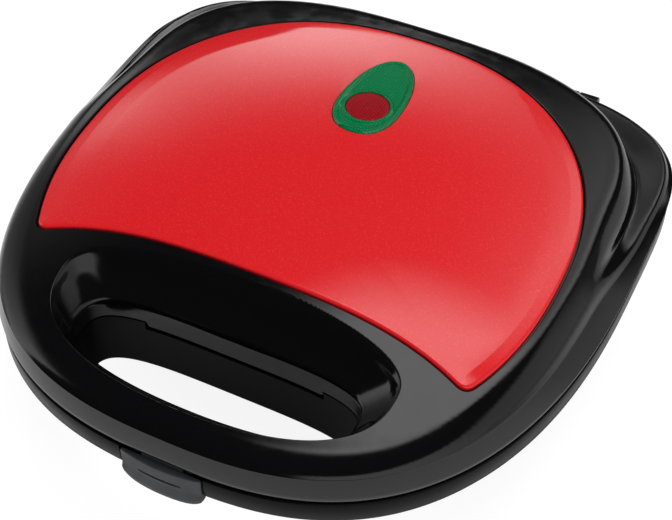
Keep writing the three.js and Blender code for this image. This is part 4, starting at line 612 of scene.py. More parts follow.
def add_node(tree, kind, inputs=None, **settings):
    node = tree.nodes.new(kind)
    for key, value in settings.items():
        setattr(node, key, value)
    feed(tree, node, inputs or {})
    return node


def calc(tree, operation, *values):
    """One math node; each value is a socket or a number."""
    return add_node(tree, "ShaderNodeMath", dict(enumerate(values)), operation=operation).outputs[0]


def product(tree, *factors):
    made = factors[0]
    for factor in factors[1:]:
        made = calc(tree, "MULTIPLY", made, factor)
    return made


def new_tree(name, *inputs):
    """A geometry tree with its named inputs, and a function that ends it with real meshes and a material."""
    tree = bpy.data.node_groups.new(name, "GeometryNodeTree")
    for given in (("Geometry", "NodeSocketGeometry"), *inputs, ("Finish", "NodeSocketMaterial")):
        socket(tree, *given)
    socket(tree, "Geometry", "NodeSocketGeometry", "OUTPUT")
    given, result = add_node(tree, "NodeGroupInput"), add_node(tree, "NodeGroupOutput")

    def end_with(geometry):
        real = add_node(tree, "GeometryNodeRealizeInstances", {0: geometry})
        finish = add_node(tree, "GeometryNodeSetMaterial",
                          {"Geometry": real.outputs[0], "Material": given.outputs["Finish"]})
        feed(tree, result, {0: finish.outputs[0]})
        return tree

    return tree, given, end_with


def dome_tree():
    """Adds the dome's height to every point of a flat stack."""
    sizes = (("Side drop", DOME_SIDE_DROP), ("Front drop", DOME_FRONT_DROP), ("Top height", LID_TOP_Z),
             ("Top place", WAIST_Y + DOME_TOP_Y))
    inputs = [(name, "NodeSocketFloat", "INPUT", size * MM) for name, size in sizes]
    tree, given, end_with = new_tree("lay_on_dome", *inputs)
    place = add_node(tree, "GeometryNodeInputPosition").outputs[0]
    x, y, _ = add_node(tree, "ShaderNodeSeparateXYZ", {0: place}).outputs
    side = calc(tree, "DIVIDE", x, BODY_HALF_WIDTH * MM)
    along = calc(tree, "DIVIDE", calc(tree, "SUBTRACT", y, given.outputs["Top place"]), FRONT_REACH * MM)
    height = given.outputs["Top height"]
    for far, drop in ((side, "Side drop"), (along, "Front drop")):
        height = calc(tree, "SUBTRACT", height, product(tree, far, far, given.outputs[drop]))
    lift = add_node(tree, "ShaderNodeCombineXYZ", {2: height})
    move = add_node(tree, "GeometryNodeSetPosition",
                    {"Geometry": given.outputs["Geometry"], "Offset": lift.outputs[0]})
    return end_with(move.outputs[0])


lay_on_dome = dome_tree()


def with_nodes(piece, tree, **values):
    """Runs a node tree on a piece, with its inputs set by their identifiers, and bakes it."""
    step = piece.modifiers.new(tree.name, "NODES")
    step.node_group = tree
    known = {item.name: item.identifier for item in tree.interface.items_tree if item.in_out == "INPUT"}
    for name, value in values.items():
        step[known[name.replace("_", " ")]] = value
    return baked(piece)


print("tree", lay_on_dome.name, "with", len(lay_on_dome.nodes), "nodes")

# %% Outline of the panel
PANEL_Y = -35.4
PANEL_OVAL = (96.1, 97.9, 97.9, 2.3, 2.3)
PANEL_DROOP = 0.5
SEAT_GAP = 0.7
CORNER_RUN = 4.5


def arch_y(x, margin=0.0):
    """The arch that cuts the panel's front, over the handle recess."""
    return -79 - margin - 11.5 * np.abs(x / 85) ** 3.5


def panel_outline(margin, steps=420):
    """The panel's outline grown by a margin, with rounded front corners."""
    angle = np.linspace(math.pi / 2, -math.pi / 2, 4000)
    far = reach(angle, *PANEL_OVAL) + margin
    x, y = far * np.cos(angle), PANEL_Y + far * np.sin(angle)
    last = int(np.argmax(y < arch_y(x, margin) + 5))
    side = np.array([x[last], y[last]])
    heading = side - [x[last - 1], y[last - 1]]
    path = side + np.linspace(0, 12, 600)[:, None] * heading / np.linalg.norm(heading)
    tip = path[np.argmax(path[:, 1] < arch_y(path[:, 0], margin))]
    inner_x = tip[0] - CORNER_RUN
    inner = np.array([inner_x, arch_y(inner_x, margin)])
    t = np.linspace(0, 1, 40)[1:, None]
    turn = rounded_corner(side, tip, inner, t)
    run_x = np.linspace(inner_x, 0, 400)[1:]
    run = np.stack([run_x, arch_y(run_x, margin)], axis=1)
    half = np.vstack([np.stack([x[:last + 1], y[:last + 1]], axis=1), turn, run])
    half = evenly(half, steps // 2 + 1, 14)
    mirrored = half[1:-1][::-1] * [-1, 1]
    return np.vstack([half, mirrored])[::-1]


def inset_outline(outline, distance):
    """Moves an outline inwards along its own normals."""
    ahead, back = np.roll(outline, -1, axis=0), np.roll(outline, 1, axis=0)
    along = ahead - back
    along /= np.linalg.norm(along, axis=1)[:, None]
    return outline + np.stack([-along[:, 1], along[:, 0]], axis=1) * distance


STACK_SHARES = (0.9, 0.75, 0.55, 0.35, 0.18, 0.06)


def flat_stack(name, outline, section, centre, droop=0.0):
    """A flat closed piece: a section of (inset, lift) pairs run round an outline.

    A droop bends the top down towards the edge, as a share for each point of the outline.
    """
    rows = []
    low, high = section[0], section[-1]
    centre = np.array(centre)
    inner = inset_outline(outline, low[0])
    for share in STACK_SHARES[::-1]:
        rows.append(lifted(*(centre + (inner - centre) * share).T, low[1]))
    for inset, lift in section:
        bent = lift - droop * (1 - min(inset / high[0], 1)) if high[0] else lift
        rows.append(lifted(*inset_outline(outline, inset).T, bent))
    inner = inset_outline(outline, high[0])
    for share in STACK_SHARES:
        rows.append(lifted(*(centre + (inner - centre) * share).T, high[1]))
    return skin(name, rows)


edge_turn = [(0.9 * (1 - math.cos(t)), 0.4 - 0.75 * (1 - math.sin(t))) for t in np.linspace(0, math.pi / 2, 7)]
panel_section = [(0.0, -1.5), (0.0, -0.9)] + edge_turn + [(a, 0.4) for a in (1.6, 2.6, 3.6, 4.4, 4.6, 4.75)]
outline = panel_outline(0)
behind_arch = eased(1.0, 9.0, outline[:, 1] - arch_y(outline[:, 0]))
at_side = eased(45, 78, np.abs(outline[:, 0]))
panel = flat_stack("painted_panel", outline, panel_section, (0, PANEL_Y), PANEL_DROOP * behind_arch * at_side)
with_nodes(panel, lay_on_dome)
print("panel outline:", len(outline), "points, section:", len(panel_section))

# %% [markdown]
# ## Indicator window
# The egg-shaped green lens and the round red lens in it are domed like the panel and stand
# a little proud of it. The green lens has a raised rounded rim, a lower field, and a second
# raised ring round the red lens. Both rims are heights worked out from the distance to the
# outlines, which gives soft moulded edges without any bevel tool.

# %% Lenses
WINDOW_Y = 14.6
WINDOW_OVAL = (12.8, 18.3, 29.0)
FIELD_LIFT = 0.85
LAMP_Y = 11.7
LAMP_RADIUS = 8.45


def window_outline(margin, steps=160):
    x, y = oval(circle(4000), *[size + margin for size in WINDOW_OVAL], 2.4, 2.0)
    y = WINDOW_Y + y
    run = summed(np.hypot(np.diff(x), np.diff(y)))
    where = np.linspace(0, run[-1], steps, endpoint=False)
    return np.stack([np.interp(where, run, x), np.interp(where, run, y)], axis=1)


def green_lens():
    """The green lens as heights over its own outline, with a hole for the red one."""
    outline = window_outline(0)
    centre = np.array([0, WINDOW_Y + 6.0])
    under = ((window_outline(-2), -4.1), (window_outline(-2), -1.5), (outline, -1.5))
    rows = [lifted(*ring.T, lift) for ring, lift in under]
    insets = [0.0, 0.02, 0.12, 0.3, 0.55, 0.85, 1.2, 1.6, 2.0, 2.4, 2.8, 3.3]
    for inset in insets:
        rim = 1.59 - 1.1 * (1 - min(inset, 1)) ** 2.4 - 0.75 * float(eased(1.5, 2.9, inset))
        rows.append(lifted(*inset_outline(outline, inset).T, rim))
    last = inset_outline(outline, insets[-1])
    for share in np.linspace(0.96, 0.03, 34):
        rows.append(lifted(*(centre + (last - centre) * share).T, FIELD_LIFT))
    rows = np.array(rows)
    face = rows[len(under):]
    away = np.hypot(face[..., 0], face[..., 1] - LAMP_Y) - LAMP_RADIUS
    collar = 0.62 * eased(-0.2, 0.6, away) * (1 - eased(1.0, 2.0, away))
    lift = face[..., 2]
    face[..., 2] = np.where(lift >= 0.84, np.minimum(lift + collar, np.maximum(1.6, lift)), lift)
    return skin("green_window", rows, smooth_angle=50.0)


def red_lens():
    turn = circle(96)
    section = [(10.05, -5.7), (10.05, -4.4), (LAMP_RADIUS, -4.4), (LAMP_RADIUS, 0.75), (8.3, 1.0), (8.0, 1.15)]
    section += [(7.0, 1.2)]
    section += [(size, 1.2 + 0.1 * (1 - (size / 7.0) ** 2)) for size in (6, 5, 4, 3, 2, 1, 0.4)]
    rows = [lifted(r * np.cos(turn), LAMP_Y + r * np.sin(turn), z) for r, z in section]
    return skin("red_window", rows, smooth_angle=50.0)


green = with_nodes(green_lens(), lay_on_dome)
red = with_nodes(red_lens(), lay_on_dome)
carved(green, [rod("red_bore", "Z", LAMP_RADIUS + 0.2, 60, 95, (0, LAMP_Y), 96)])
opening = flat_stack("window_cut", window_outline(0.25), [(0, -6), (0, 6)], (0, WINDOW_Y))
carved(panel, [with_nodes(opening, lay_on_dome)], smooth_angle=30.0)
print("green lens:", len(green.data.polygons), "faces, red lens:", len(red.data.polygons))

# %% [markdown]
# ## Cuts in the lid shell and its hinge
# The panel's seat has a lightly flared mouth, so its edge catches a thin line of light as
# a moulded edge does. The hinge knuckles are round barrels with arms, joined to the shell
# so that no inner faces stay, after pockets were cut for the base's own knuckles.

# %% Seat, window hole and hinge of the lid
HINGE_Y = 85.5
HINGE_Z = PARTING_Z - 3.0
HINGE_SIDES = (-1, 1)
BASE_KNUCKLES = (40, 62)
BARREL_RADIUS = 4.5
POCKET_RADIUS = 5.0
LATCH_Y = -144.5
LATCH_Z = PARTING_Z - 2.5
LATCH_BARREL_RADIUS = 2.3


def span(side, start, length):
    ends = sorted((side * start, side * (start + length)))
    return ends[0], ends[1]


def lid_cuts():
    seat = panel_outline(SEAT_GAP)
    wide = [(0, -1.8), (0, -0.55), (-0.12, -0.28), (-0.42, -0.02), (-0.62, 0.6), (-0.62, 6)]
    tools = [with_nodes(flat_stack("seat_cut", seat, wide, (0, PANEL_Y)), lay_on_dome)]
    hole = flat_stack("lens_cut", window_outline(-1.7), [(0, -9), (0, 3)], (0, WINDOW_Y))
    tools.append(with_nodes(hole, lay_on_dome))
    for side in HINGE_SIDES:
        for start in BASE_KNUCKLES:
            x0, x1 = span(side, start - 0.5, 9)
            tools.append(rod("hinge_pocket", "X", POCKET_RADIUS, x0, x1, (HINGE_Y, HINGE_Z)))
    tools.append(rod("wire_way", "X", POCKET_RADIUS, -20, 20, (HINGE_Y, HINGE_Z)))
    return tools


def knuckle(name, x0, x1, arm_y, arm_z):
    """A hinge barrel with the arm that carries it, bored for its pin."""
    barrel = rod(name, "X", BARREL_RADIUS, x0, x1, (HINGE_Y, HINGE_Z), 64, 0.35)
    carved(barrel, [block("arm", (x0 + 0.02, x1 - 0.02), arm_y, arm_z)], "UNION")
    return carved(barrel, [rod("pin_bore", "X", 1.8, x0 - 1, x1 + 1, (HINGE_Y, HINGE_Z), 32)])


carved(lid, lid_cuts(), smooth_angle=32.0)
lid_arm = (81.1, 84.4), (PARTING_Z - 0.3, PARTING_Z + 1.9)
lid_knuckles = [knuckle(f"lid_knuckle_{i}", *span(side, 48.5, 13), *lid_arm) for i, side in enumerate(HINGE_SIDES)]
lugs = []
for i, side in enumerate(HINGE_SIDES):
    x0, x1 = span(side, 8.3, 3)
    across, lug_top = (x0 + 0.02, x1 - 0.02), PARTING_Z + 3.1
    lug = rod(f"latch_lug_{i}", "X", LATCH_BARREL_RADIUS, x0, x1, (LATCH_Y, LATCH_Z), 32, 0.2)
    carved(lug, [block("lug_web", across, (-144.8, -142.2), (LATCH_Z, lug_top)),
                 block("lug_foot", across, (-146.9, LATCH_Y), (PARTING_Z + 0.3, lug_top))], "UNION")
    lugs.append(lug)
print("lid shell after cuts:", len(lid.data.polygons), "faces; knuckles:", len(lid_knuckles))

# %% [markdown]
# ## Base shell
# The base is a shallow tray under the parting line with a bowl below it for the heater. The
# tray follows the body's outline and the bowl has one of its own. Both are skins over rings,
# and the slot, the latch pocket, the screw wells and the notch for the lid's tongue are cut.

# %% Tray and bowl
TRAY_BOTTOM_Z = 29.0
BOWL_BOTTOM_Z = 8.0
BOWL_TOP_Z = 30.3
BOWL_OVAL = (100.0, 93.0, 78.0, 3.2, 3.2)
INLET_Z = 19.0
CUT_TOP_Z = 60


def ring_at(size, z, steps, outline=body_reach):
    turn = circle(steps)
    far = outline(turn) - size
    return lifted(far * np.cos(turn), far * np.sin(turn), z)


def bowl_reach(angle):
    return reach(angle, *BOWL_OVAL)


def tray(name, wall, low, high, steps):
    shares = np.array([(1, 0), (0.58, 0.12), (0.27, 0.4), (0.08, 0.75), (0, 1)])
    side = np.stack([0.3 + wall + 26 * shares[:, 0], mix(low, 44.0, shares[:, 1])], axis=1)
    rows = [ring_at(size, z, steps) for size, z in profile(side, 22)]
    if wall:
        rows += [ring_at(0.3 + wall, high, steps)]
    else:
        rows += [ring_at(a, z, steps) for a, z in ((0.3, BASE_TOP_Z - 0.8), (0.42, BASE_TOP_Z - 0.45),
                                                     (0.66, BASE_TOP_Z - 0.15), (0.95, BASE_TOP_Z))]
    return skin(name, rows)


def bowl(name, wall, high, steps):
    shares = np.array([(1, 0), (0.72, 0.06), (0.4, 0.26), (0.12, 0.62), (0, 1)])
    low = BOWL_BOTTOM_Z + wall
    side = np.stack([wall + 16 * shares[:, 0], mix(low, BOWL_TOP_Z, shares[:, 1])], axis=1)
    rows = [ring_at(size, z, steps, bowl_reach) for size, z in profile(side, 18)]
    if high > BOWL_TOP_Z:
        rows += [ring_at(wall, high, steps, bowl_reach)]
    return skin(name, rows)


def slot_prism(name, extra, low, high):
    return skin(name, [lifted(*handle_ring(0, 0, extra, circle(240)), z) for z in (low, high)])


def outer_tray(name):
    return tray(name, 0, TRAY_BOTTOM_Z, BASE_TOP_Z, 480)


base = outer_tray("base_outer_shell")
carved(base, [bowl("bowl", 0, 0, 360)], "UNION")
hollow = tray("hollow", WALL, TRAY_BOTTOM_Z + WALL, CUT_TOP_Z, 240)
carved(hollow, [bowl("bowl_hollow", WALL, CUT_TOP_Z, 240)], "UNION")
wall = carved(slot_prism("slot_wall", WALL, 20, CUT_TOP_Z), [outer_tray("tray_copy")], "INTERSECT")
carved(base, [hollow])
carved(base, [wall], "UNION")
print("base:", len(base.data.polygons), "faces")

# %% [markdown]
# ## Vents and screw wells
# Seven slots under the heater let air in. Repeated cuts are a job for Geometry Nodes: a row
# of points carries one cutter each. The four deep wells for the housing screws and the pocket
# for the latch are cut with single tools.

# %% Vent cutters from a row of points


def row_tree():
    """Copies a shape along a straight row of points."""
    tree, given, end_with = new_tree("row_of_copies", ("Count", "NodeSocketInt", "INPUT", 7),
                                     ("Start", "NodeSocketVector"), ("Step", "NodeSocketVector"))
    spacing = {"Count": given.outputs["Count"], "Start Location": given.outputs["Start"],
               "Offset": given.outputs["Step"]}
    line = add_node(tree, "GeometryNodeMeshLine", spacing, mode="OFFSET")
    copies = add_node(tree, "GeometryNodeInstanceOnPoints",
                      {"Points": line.outputs[0], "Instance": given.outputs["Geometry"]})
    return end_with(copies.outputs[0])


row_of_copies = row_tree()


def vent_cutter():
    """One rounded slot, drawn about the origin of the copies."""
    turn = circle(32)
    x, y = 1.5 * np.cos(turn), 1.5 * np.sin(turn) + np.where(np.sin(turn) >= 0, 13.5, -13.5)
    flare = [(0.9, 0.0), (0.9, 7.9), (0.25, 8.35), (0, 8.8), (0, 16.6)]
    rows = [lifted(x * (1 + a / 1.5), y + np.sign(y) * a - WAIST_Y, z) for a, z in flare]
    return skin("vent_slots", rows)


vents = with_nodes(vent_cutter(), row_of_copies, Count=7, Start=(-0.027, (WAIST_Y - 20) * MM, 0.0),
                   Step=(0.009, 0.0, 0.0))
SCREW_PLACES = [(side * 40.0, -136.76) for side in HINGE_SIDES] + [(side * 91.0, 55.0) for side in HINGE_SIDES]
tools = [vents, slot_prism("slot", 0, 0, 90)]
tools += [block("latch_pocket", (-16.2, 16.2), (-155, -139.8), (LATCH_Z - 13, CUT_TOP_Z))]
tools += [block("tongue_notch", (-36, 36), (-103, -94.1), (PARTING_Z - 4.5, CUT_TOP_Z))]
tools += [rod("inlet_hole", "Y", 5.8, 39, REAR_REACH, (0, INLET_Z))]
tools += [rod("wire_way", "X", POCKET_RADIUS, -20, 20, (HINGE_Y, HINGE_Z))]
for x, y in SCREW_PLACES:
    tools += [rod("screw_well", "Z", 3.1, BOWL_BOTTOM_Z, 37.2, (x, y), 32)]
for side in HINGE_SIDES:
    x0, x1 = span(side, 48, 14)
    tools += [rod("lid_knuckle_pocket", "X", POCKET_RADIUS, x0, x1, (HINGE_Y, HINGE_Z))]
pocket_wall = block("pocket_wall", (-18.8, 18.8), (-148.4, -137.2), (TRAY_BOTTOM_Z, BASE_TOP_Z))
carved(pocket_wall, [outer_tray("tray_copy")], "INTERSECT")
wells = [carved(rod("well_wall", "Z", 4.2, TRAY_BOTTOM_Z, 40.2, p, 40), [outer_tray("tray_copy")], "INTERSECT")
         for p in SCREW_PLACES]
carved(base, [pocket_wall, *wells], "UNION")
carved(base, tools, smooth_angle=32.0)
base_arm = (77.5, HINGE_Y), (HINGE_Z - BARREL_RADIUS, HINGE_Z)
base_knuckles = [knuckle(f"base_knuckle_{i}_{start}", *span(side, start, 8), *base_arm)
                 for i, side in enumerate(HINGE_SIDES) for start in BASE_KNUCKLES]
print("base after cuts:", len(base.data.polygons), "faces")

# %% [markdown]
# ## Latch
# The latch is one moulding: a slightly bowed plate that a finger hooks under, a barrel that
# turns on a pin between two lugs of the lid, and a hook that catches the base. The plate's
# section is a polygon with every corner rounded, swept across the width in many slices, so
# the bow and the drop of the lower corners are part of one smooth surface.

# %% Rounded sections


def rounded(points, radius, steps=5):
    """A closed section with its corners turned into small arcs."""
    points = np.asarray(points, float)
    made = []
    for i, corner in enumerate(points):
        back, ahead = points[i - 1] - corner, points[(i + 1) % len(points)] - corner
        reach_back = corner + back * min(0.45, radius / np.linalg.norm(back))
        reach_ahead = corner + ahead * min(0.45, radius / np.linalg.norm(ahead))
        for t in np.linspace(0, 1, steps):
            made.append(rounded_corner(reach_back, corner, reach_ahead, t))
    return np.array(made)


def turned(name, section, centre, axis="Z", sides=64):
    """A round piece from a closed section of (radius, height), turned about an axis."""
    columns = []
    for a in circle(sides):
        side, up, along = np.cos(a) * section[:, 0], np.sin(a) * section[:, 0], section[:, 1]
        if axis == "Z":
            columns.append(np.stack([centre[0] + side, centre[1] + up, centre[2] + along], axis=1))
        else:
            columns.append(np.stack([centre[0] + side, centre[1] + along, centre[2] + up], axis=1))
    return closed_ring(name, columns)


print("a rounded square has", len(rounded([(0, 0), (1, 0), (1, 1), (0, 1)], 0.2)), "points")

# %% Latch plate, barrel and hook
LATCH_HALF_WIDTH = 15.5


def latch_section(share):
    bow = 1.8 * share * share
    face = -5.5 + bow
    bottom = -14.7 * (1 - 0.2 * abs(share) ** 6)
    corners = [(face + 0.25, 0.5), (face, 0.25), (face, -7.35), (face - 0.7, bottom * 0.78),
               (face - 0.35, bottom * 0.94), (face + 1.4, bottom), (-1.15, bottom), (-1.15, -7.35),
               (-2.6, -2.8), (-2.6, 0.5)]
    return rounded(corners, 0.42)


def latch_plate():
    shares = np.sin(np.linspace(-math.pi / 2, math.pi / 2, 49))
    rows = []
    for share in shares:
        section = latch_section(share)
        middle = section.mean(axis=0)
        shrink = 1 - 0.09 * max(0.0, abs(share) - 0.975) / 0.025
        section = middle + (section - middle) * [mix(1, shrink, 0.9), shrink]
        rows.append(np.column_stack([np.full(len(section), LATCH_HALF_WIDTH * share),
                                     LATCH_Y + section[:, 0], LATCH_Z + section[:, 1]]))
    return skin("latch_moulding", rows, smooth_angle=48.0)


latch = latch_plate()
latch_joined = [
    rod("barrel", "X", LATCH_BARREL_RADIUS, -8, 8, (LATCH_Y, LATCH_Z), 48, 0.2),
    block("neck", (-8, 8), (LATCH_Y - 3.9, LATCH_Y), (LATCH_Z - LATCH_BARREL_RADIUS, LATCH_Z + 0.25)),
    block("hook", (-6, 6), (LATCH_Y - 2.75, LATCH_Y + 3.5), (LATCH_Z - 9.3, LATCH_Z - 7.5)),
]
carved(latch, latch_joined, "UNION")
groove = rounded([(-6.0, -6.1), (-4.75, -5.9), (-4.75, -5.0), (-6.0, -4.6)], 0.2)
groove_rows = [np.column_stack([np.full(len(groove), x), LATCH_Y + groove[:, 0], LATCH_Z + groove[:, 1]])
               for x in (-8.2, 8.2)]
carved(latch, [rod("pin_bore", "X", 1.5, -17, 17, (LATCH_Y, LATCH_Z), 32), skin("groove", groove_rows)],
       smooth_angle=48.0)
print("latch:", len(latch.data.polygons), "faces")

# %% [markdown]
# ## Feet and screws
# Four rubber feet and four deep screws hold the base. Each kind is drawn once and a node tree
# sets it at every place, because repeated pieces should stay copies of one drawing. The
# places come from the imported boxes, and one plain mesh per kind is kept at the end.

# %% Copies at given places


def places_tree():
    """Sets copies of one piece on the loose points that the tree is given."""
    tree, given, end_with = new_tree("copies_at_places", ("Shape", "NodeSocketObject"),
                                     ("Turn step", "NodeSocketFloat", "INPUT", 0.6))
    shape = add_node(tree, "GeometryNodeObjectInfo", {"Object": given.outputs["Shape"]})
    index = add_node(tree, "GeometryNodeInputIndex").outputs[0]
    turn = add_node(tree, "ShaderNodeCombineXYZ", {2: calc(tree, "MULTIPLY", index, given.outputs["Turn step"])})
    copies = add_node(tree, "GeometryNodeInstanceOnPoints", {
        "Points": given.outputs["Geometry"], "Instance": shape.outputs["Geometry"], "Rotation": turn.outputs[0]})
    return end_with(copies.outputs[0])


copies_at_places = places_tree()
CORNERS = ("front_left", "rear_left", "front_right", "rear_right")


def at_corners(name, shape, node, level, turn_step=0.0):
    """One mesh of four copies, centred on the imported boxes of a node's four corners."""
    points = []
    for corner in CORNERS:
        low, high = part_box(f"{node}_{corner}")
        points.append(((low.x + high.x) / 2, (low.y + high.y) / 2, level(low, high)))
    mesh = bpy.data.meshes.new(name)
    mesh.from_pydata(points, [], [])
    piece = placed(name, mesh)
    with_nodes(piece, copies_at_places, Shape=shape, Turn_step=turn_step)
    bpy.data.objects.remove(shape)
    soften(piece, 35.0)
    return piece


print("tree", copies_at_places.name, "with", len(copies_at_places.nodes), "nodes")

# %% Feet, screws and cord inlet
foot_section = rounded([(1.3, 0.9), (4.9, 0.9), (5.3, 0), (7, 0), (8, 1), (8, 7.7), (2.4, 7.7), (2.4, 10.9),
                        (3.3, 10.9), (1.3, 12.2)], 0.3)
foot = turned("foot", foot_section, (0, -WAIST_Y, 0))
feet = at_corners("rubber_feet", foot, "foot", lambda low, high: low.z)

screw_section = rounded([(0.02, 0.25), (1.6, 0.15), (2.8, 0.75), (2.8, 1.1), (1.5, 1.1), (1.5, 5.2), (0.02, 6.6)],
                        0.16, 4)
screw = turned("screw", screw_section, (0, -WAIST_Y, 0), sides=32)
cross = [block("cross", (-1.5, 1.5), (-WAIST_Y - 0.28, -WAIST_Y + 0.28), (-1, 0.75)),
         block("cross", (-0.28, 0.28), (-WAIST_Y - 1.5, -WAIST_Y + 1.5), (-1, 0.75))]
carved(screw, cross)
base_screws = at_corners("housing_screws", screw, "base_screw", lambda low, high: low.z, 0.7)

inlet_section = [(3.4, -7), (5.4, -7), (5.4, 5.4), (7.4, 5.4), (7.4, 7), (3.4, 7)]
inlet = turned("cord_sleeve", rounded(inlet_section, 0.35), (0, 72.6, INLET_Z), "Y", 64)
print("feet:", len(feet.data.polygons), "screws:", len(base_screws.data.polygons), "faces")

# %% [markdown]
# ## Grain, specks and flakes
# Three surface effects serve most of the finishes, so each is a node group with named inputs.
# Grain gives fine moulded texture, specks give the faint mottling of real plastic and
# coatings, and flakes are the tiny mirrors in the paint. All read object coordinates.

# %% Shared surface groups


def ramp(tree, value, low, high, to_low=0.0, to_high=1.0):
    values = dict(enumerate((value, low, high, to_low, to_high)))
    return add_node(tree, "ShaderNodeMapRange", values, interpolation_type="SMOOTHSTEP").outputs[0]


def mixed(tree, share, low, high):
    """A colour between two colours, by a share."""
    return add_node(tree, "ShaderNodeMix", {0: share, 6: low, 7: high}, data_type="RGBA").outputs[2]


def surface_group(name, inputs, outputs):
    tree = bpy.data.node_groups.new(name, "ShaderNodeTree")
    for label, value in inputs:
        socket(tree, label, value=value)
    for label, kind in outputs:
        socket(tree, label, kind, "OUTPUT")
    given, result = add_node(tree, "NodeGroupInput"), add_node(tree, "NodeGroupOutput")
    place = add_node(tree, "ShaderNodeTexCoord").outputs["Object"]
    return tree, given, result, place


def moulded_group():
    """Fine grain over slow waves, with specks for the colour and the gloss."""
    tree, given, result, place = surface_group(
        "moulded_surface", [("Grain size", 0.4), ("Wave size", 9.0), ("Grain height", 0.004), ("Wave height", 0.01)],
        [("Specks", "NodeSocketFloat"), ("Waves", "NodeSocketFloat"), ("Normal", "NodeSocketVector")])
    noises = []
    for label, detail in (("Grain size", 3.0), ("Wave size", 2.0)):
        scale = calc(tree, "DIVIDE", 1000.0, given.outputs[label])
        noise = add_node(tree, "ShaderNodeTexNoise", {"Detail": detail, "Vector": place, "Scale": scale})
        noises.append(noise.outputs["Fac"])
    rise = calc(tree, "ADD", calc(tree, "MULTIPLY", noises[0], given.outputs["Grain height"]),
                calc(tree, "MULTIPLY", noises[1], given.outputs["Wave height"]))
    bump = add_node(tree, "ShaderNodeBump", {"Distance": MM, "Height": rise})
    feed(tree, result, {"Specks": ramp(tree, noises[0], 0.5, 0.74), "Waves": ramp(tree, noises[1], 0.3, 0.7),
                        "Normal": bump.outputs[0]})
    return tree


def flake_group():
    """A random shade for each tiny cell, as metal flakes lie in paint."""
    tree, given, result, place = surface_group(
        "paint_flakes", [("Flake size", 0.35), ("Bright share", 0.2)], [("Flakes", "NodeSocketFloat")])
    scale = calc(tree, "DIVIDE", 1000.0, given.outputs["Flake size"])
    cells = add_node(tree, "ShaderNodeTexVoronoi", {"Vector": place, "Scale": scale})
    shade = add_node(tree, "ShaderNodeSeparateColor", {0: cells.outputs["Color"]})
    low = calc(tree, "SUBTRACT", 1.0, given.outputs["Bright share"])
    feed(tree, result, {"Flakes": ramp(tree, shade.outputs[0], low, 1.0)})
    return tree


moulded_surface = moulded_group()
paint_flakes = flake_group()
print("surface groups:", moulded_surface.name, paint_flakes.name)

# %% [markdown]
# ## Finishes
# The maker shows glossy black plastic, a metallic red lacquer, two coloured lenses and a
# satin latch; inside it has coated plates, plain sheet, steel and heat-proof plastic. Each
# finish mixes two close colours by fine specks and moves the roughness by slower waves, since a
# real surface never has one exact value.

# %% Plain finishes from one recipe


def finish(name, dark, light, rough, grain=(0.4, 9.0, 0.004, 0.01), metal=0.0, **extra):
    """A finish: two colours and two roughnesses by specks, waves and grain."""
    material = bpy.data.materials.new(name)
    material.use_nodes = True
    tree = material.node_tree
    shader = tree.nodes["Principled BSDF"]
    sizes = dict(zip(("Grain size", "Wave size", "Grain height", "Wave height"), grain))
    surface = add_node(tree, "ShaderNodeGroup", node_tree=moulded_surface)
    feed(tree, surface, sizes)
    feed(tree, shader, {
        "Base Color": mixed(tree, surface.outputs["Specks"], (*dark, 1), (*light, 1)),
        "Roughness": ramp(tree, surface.outputs["Waves"], 0.0, 1.0, *rough),
        "Normal": surface.outputs["Normal"], "Metallic": metal,
    })
    feed(tree, shader, {label.replace("_", " "): value for label, value in extra.items()})
    return material


def source(shader, label):
    """The socket that an input is linked to."""
    return shader.inputs[label].links[0].from_socket


housing_black = (0.0021, 0.0019, 0.0023), (0.0034, 0.0031, 0.0036)
glossy_black = finish("glossy_black_plastic", *housing_black, (0.09, 0.13), (0.5, 7.0, 0.0012, 0.012))
# painted shade: a rougher satin copy of the housing's black plastic for the base, with its reflection turned far
# down so that it stays as dark as a surface mirroring a shadowed floor
satin_painted_shade_black = finish("dull_black_plastic", *housing_black, (0.2, 0.26), (0.5, 7.0, 0.0016, 0.012),
                    Specular_IOR_Level=0.09)
grained_black = finish("grained_black_plastic", (0.012, 0.012, 0.013), (0.022, 0.022, 0.023), (0.42, 0.52),
                       (0.45, 8.0, 0.02, 0.01))
satin_grey = finish("satin_grey_plastic", (0.026, 0.028, 0.032), (0.036, 0.038, 0.043), (0.38, 0.46),
                    (0.3, 6.0, 0.004, 0.006))
coated_plate = finish("non_stick_coating", (0.014, 0.014, 0.015), (0.06, 0.06, 0.062), (0.34, 0.5),
                      (0.5, 12.0, 0.02, 0.008), Coat_Weight=0.15)
bright_sheet = finish("rolled_sheet", (0.52, 0.52, 0.53), (0.66, 0.66, 0.66), (0.22, 0.42),
                      (0.6, 14.0, 0.004, 0.02), 1.0)
zinc_steel = finish("zinc_steel", (0.5, 0.5, 0.49), (0.64, 0.64, 0.63), (0.24, 0.4), (0.3, 5.0, 0.004, 0.01), 1.0)
heater_tube = finish("heater_tube", (0.16, 0.14, 0.12), (0.26, 0.23, 0.2), (0.4, 0.6), (0.4, 6.0, 0.01, 0.02), 0.85)
black_rubber = finish("black_rubber", (0.012, 0.012, 0.012), (0.024, 0.024, 0.024), (0.62, 0.78),
                      (0.35, 6.0, 0.014, 0.02))
heat_proof = finish("heat_proof_plastic", (0.58, 0.52, 0.4), (0.68, 0.62, 0.5), (0.45, 0.6),
                    (0.4, 7.0, 0.008, 0.01))
lamp_glass = finish("lamp_glass", (0.5, 0.16, 0.06), (0.62, 0.22, 0.09), (0.06, 0.12), (0.8, 6.0, 0.001, 0.01),
                    Coat_Weight=0.5)
wire_sleeve = finish("wire_sleeve", (0.55, 0.08, 0.05), (0.66, 0.12, 0.08), (0.35, 0.5), (0.3, 5.0, 0.004, 0.01))
print("finishes:", len(bpy.data.materials))

# %% Red lacquer and lenses


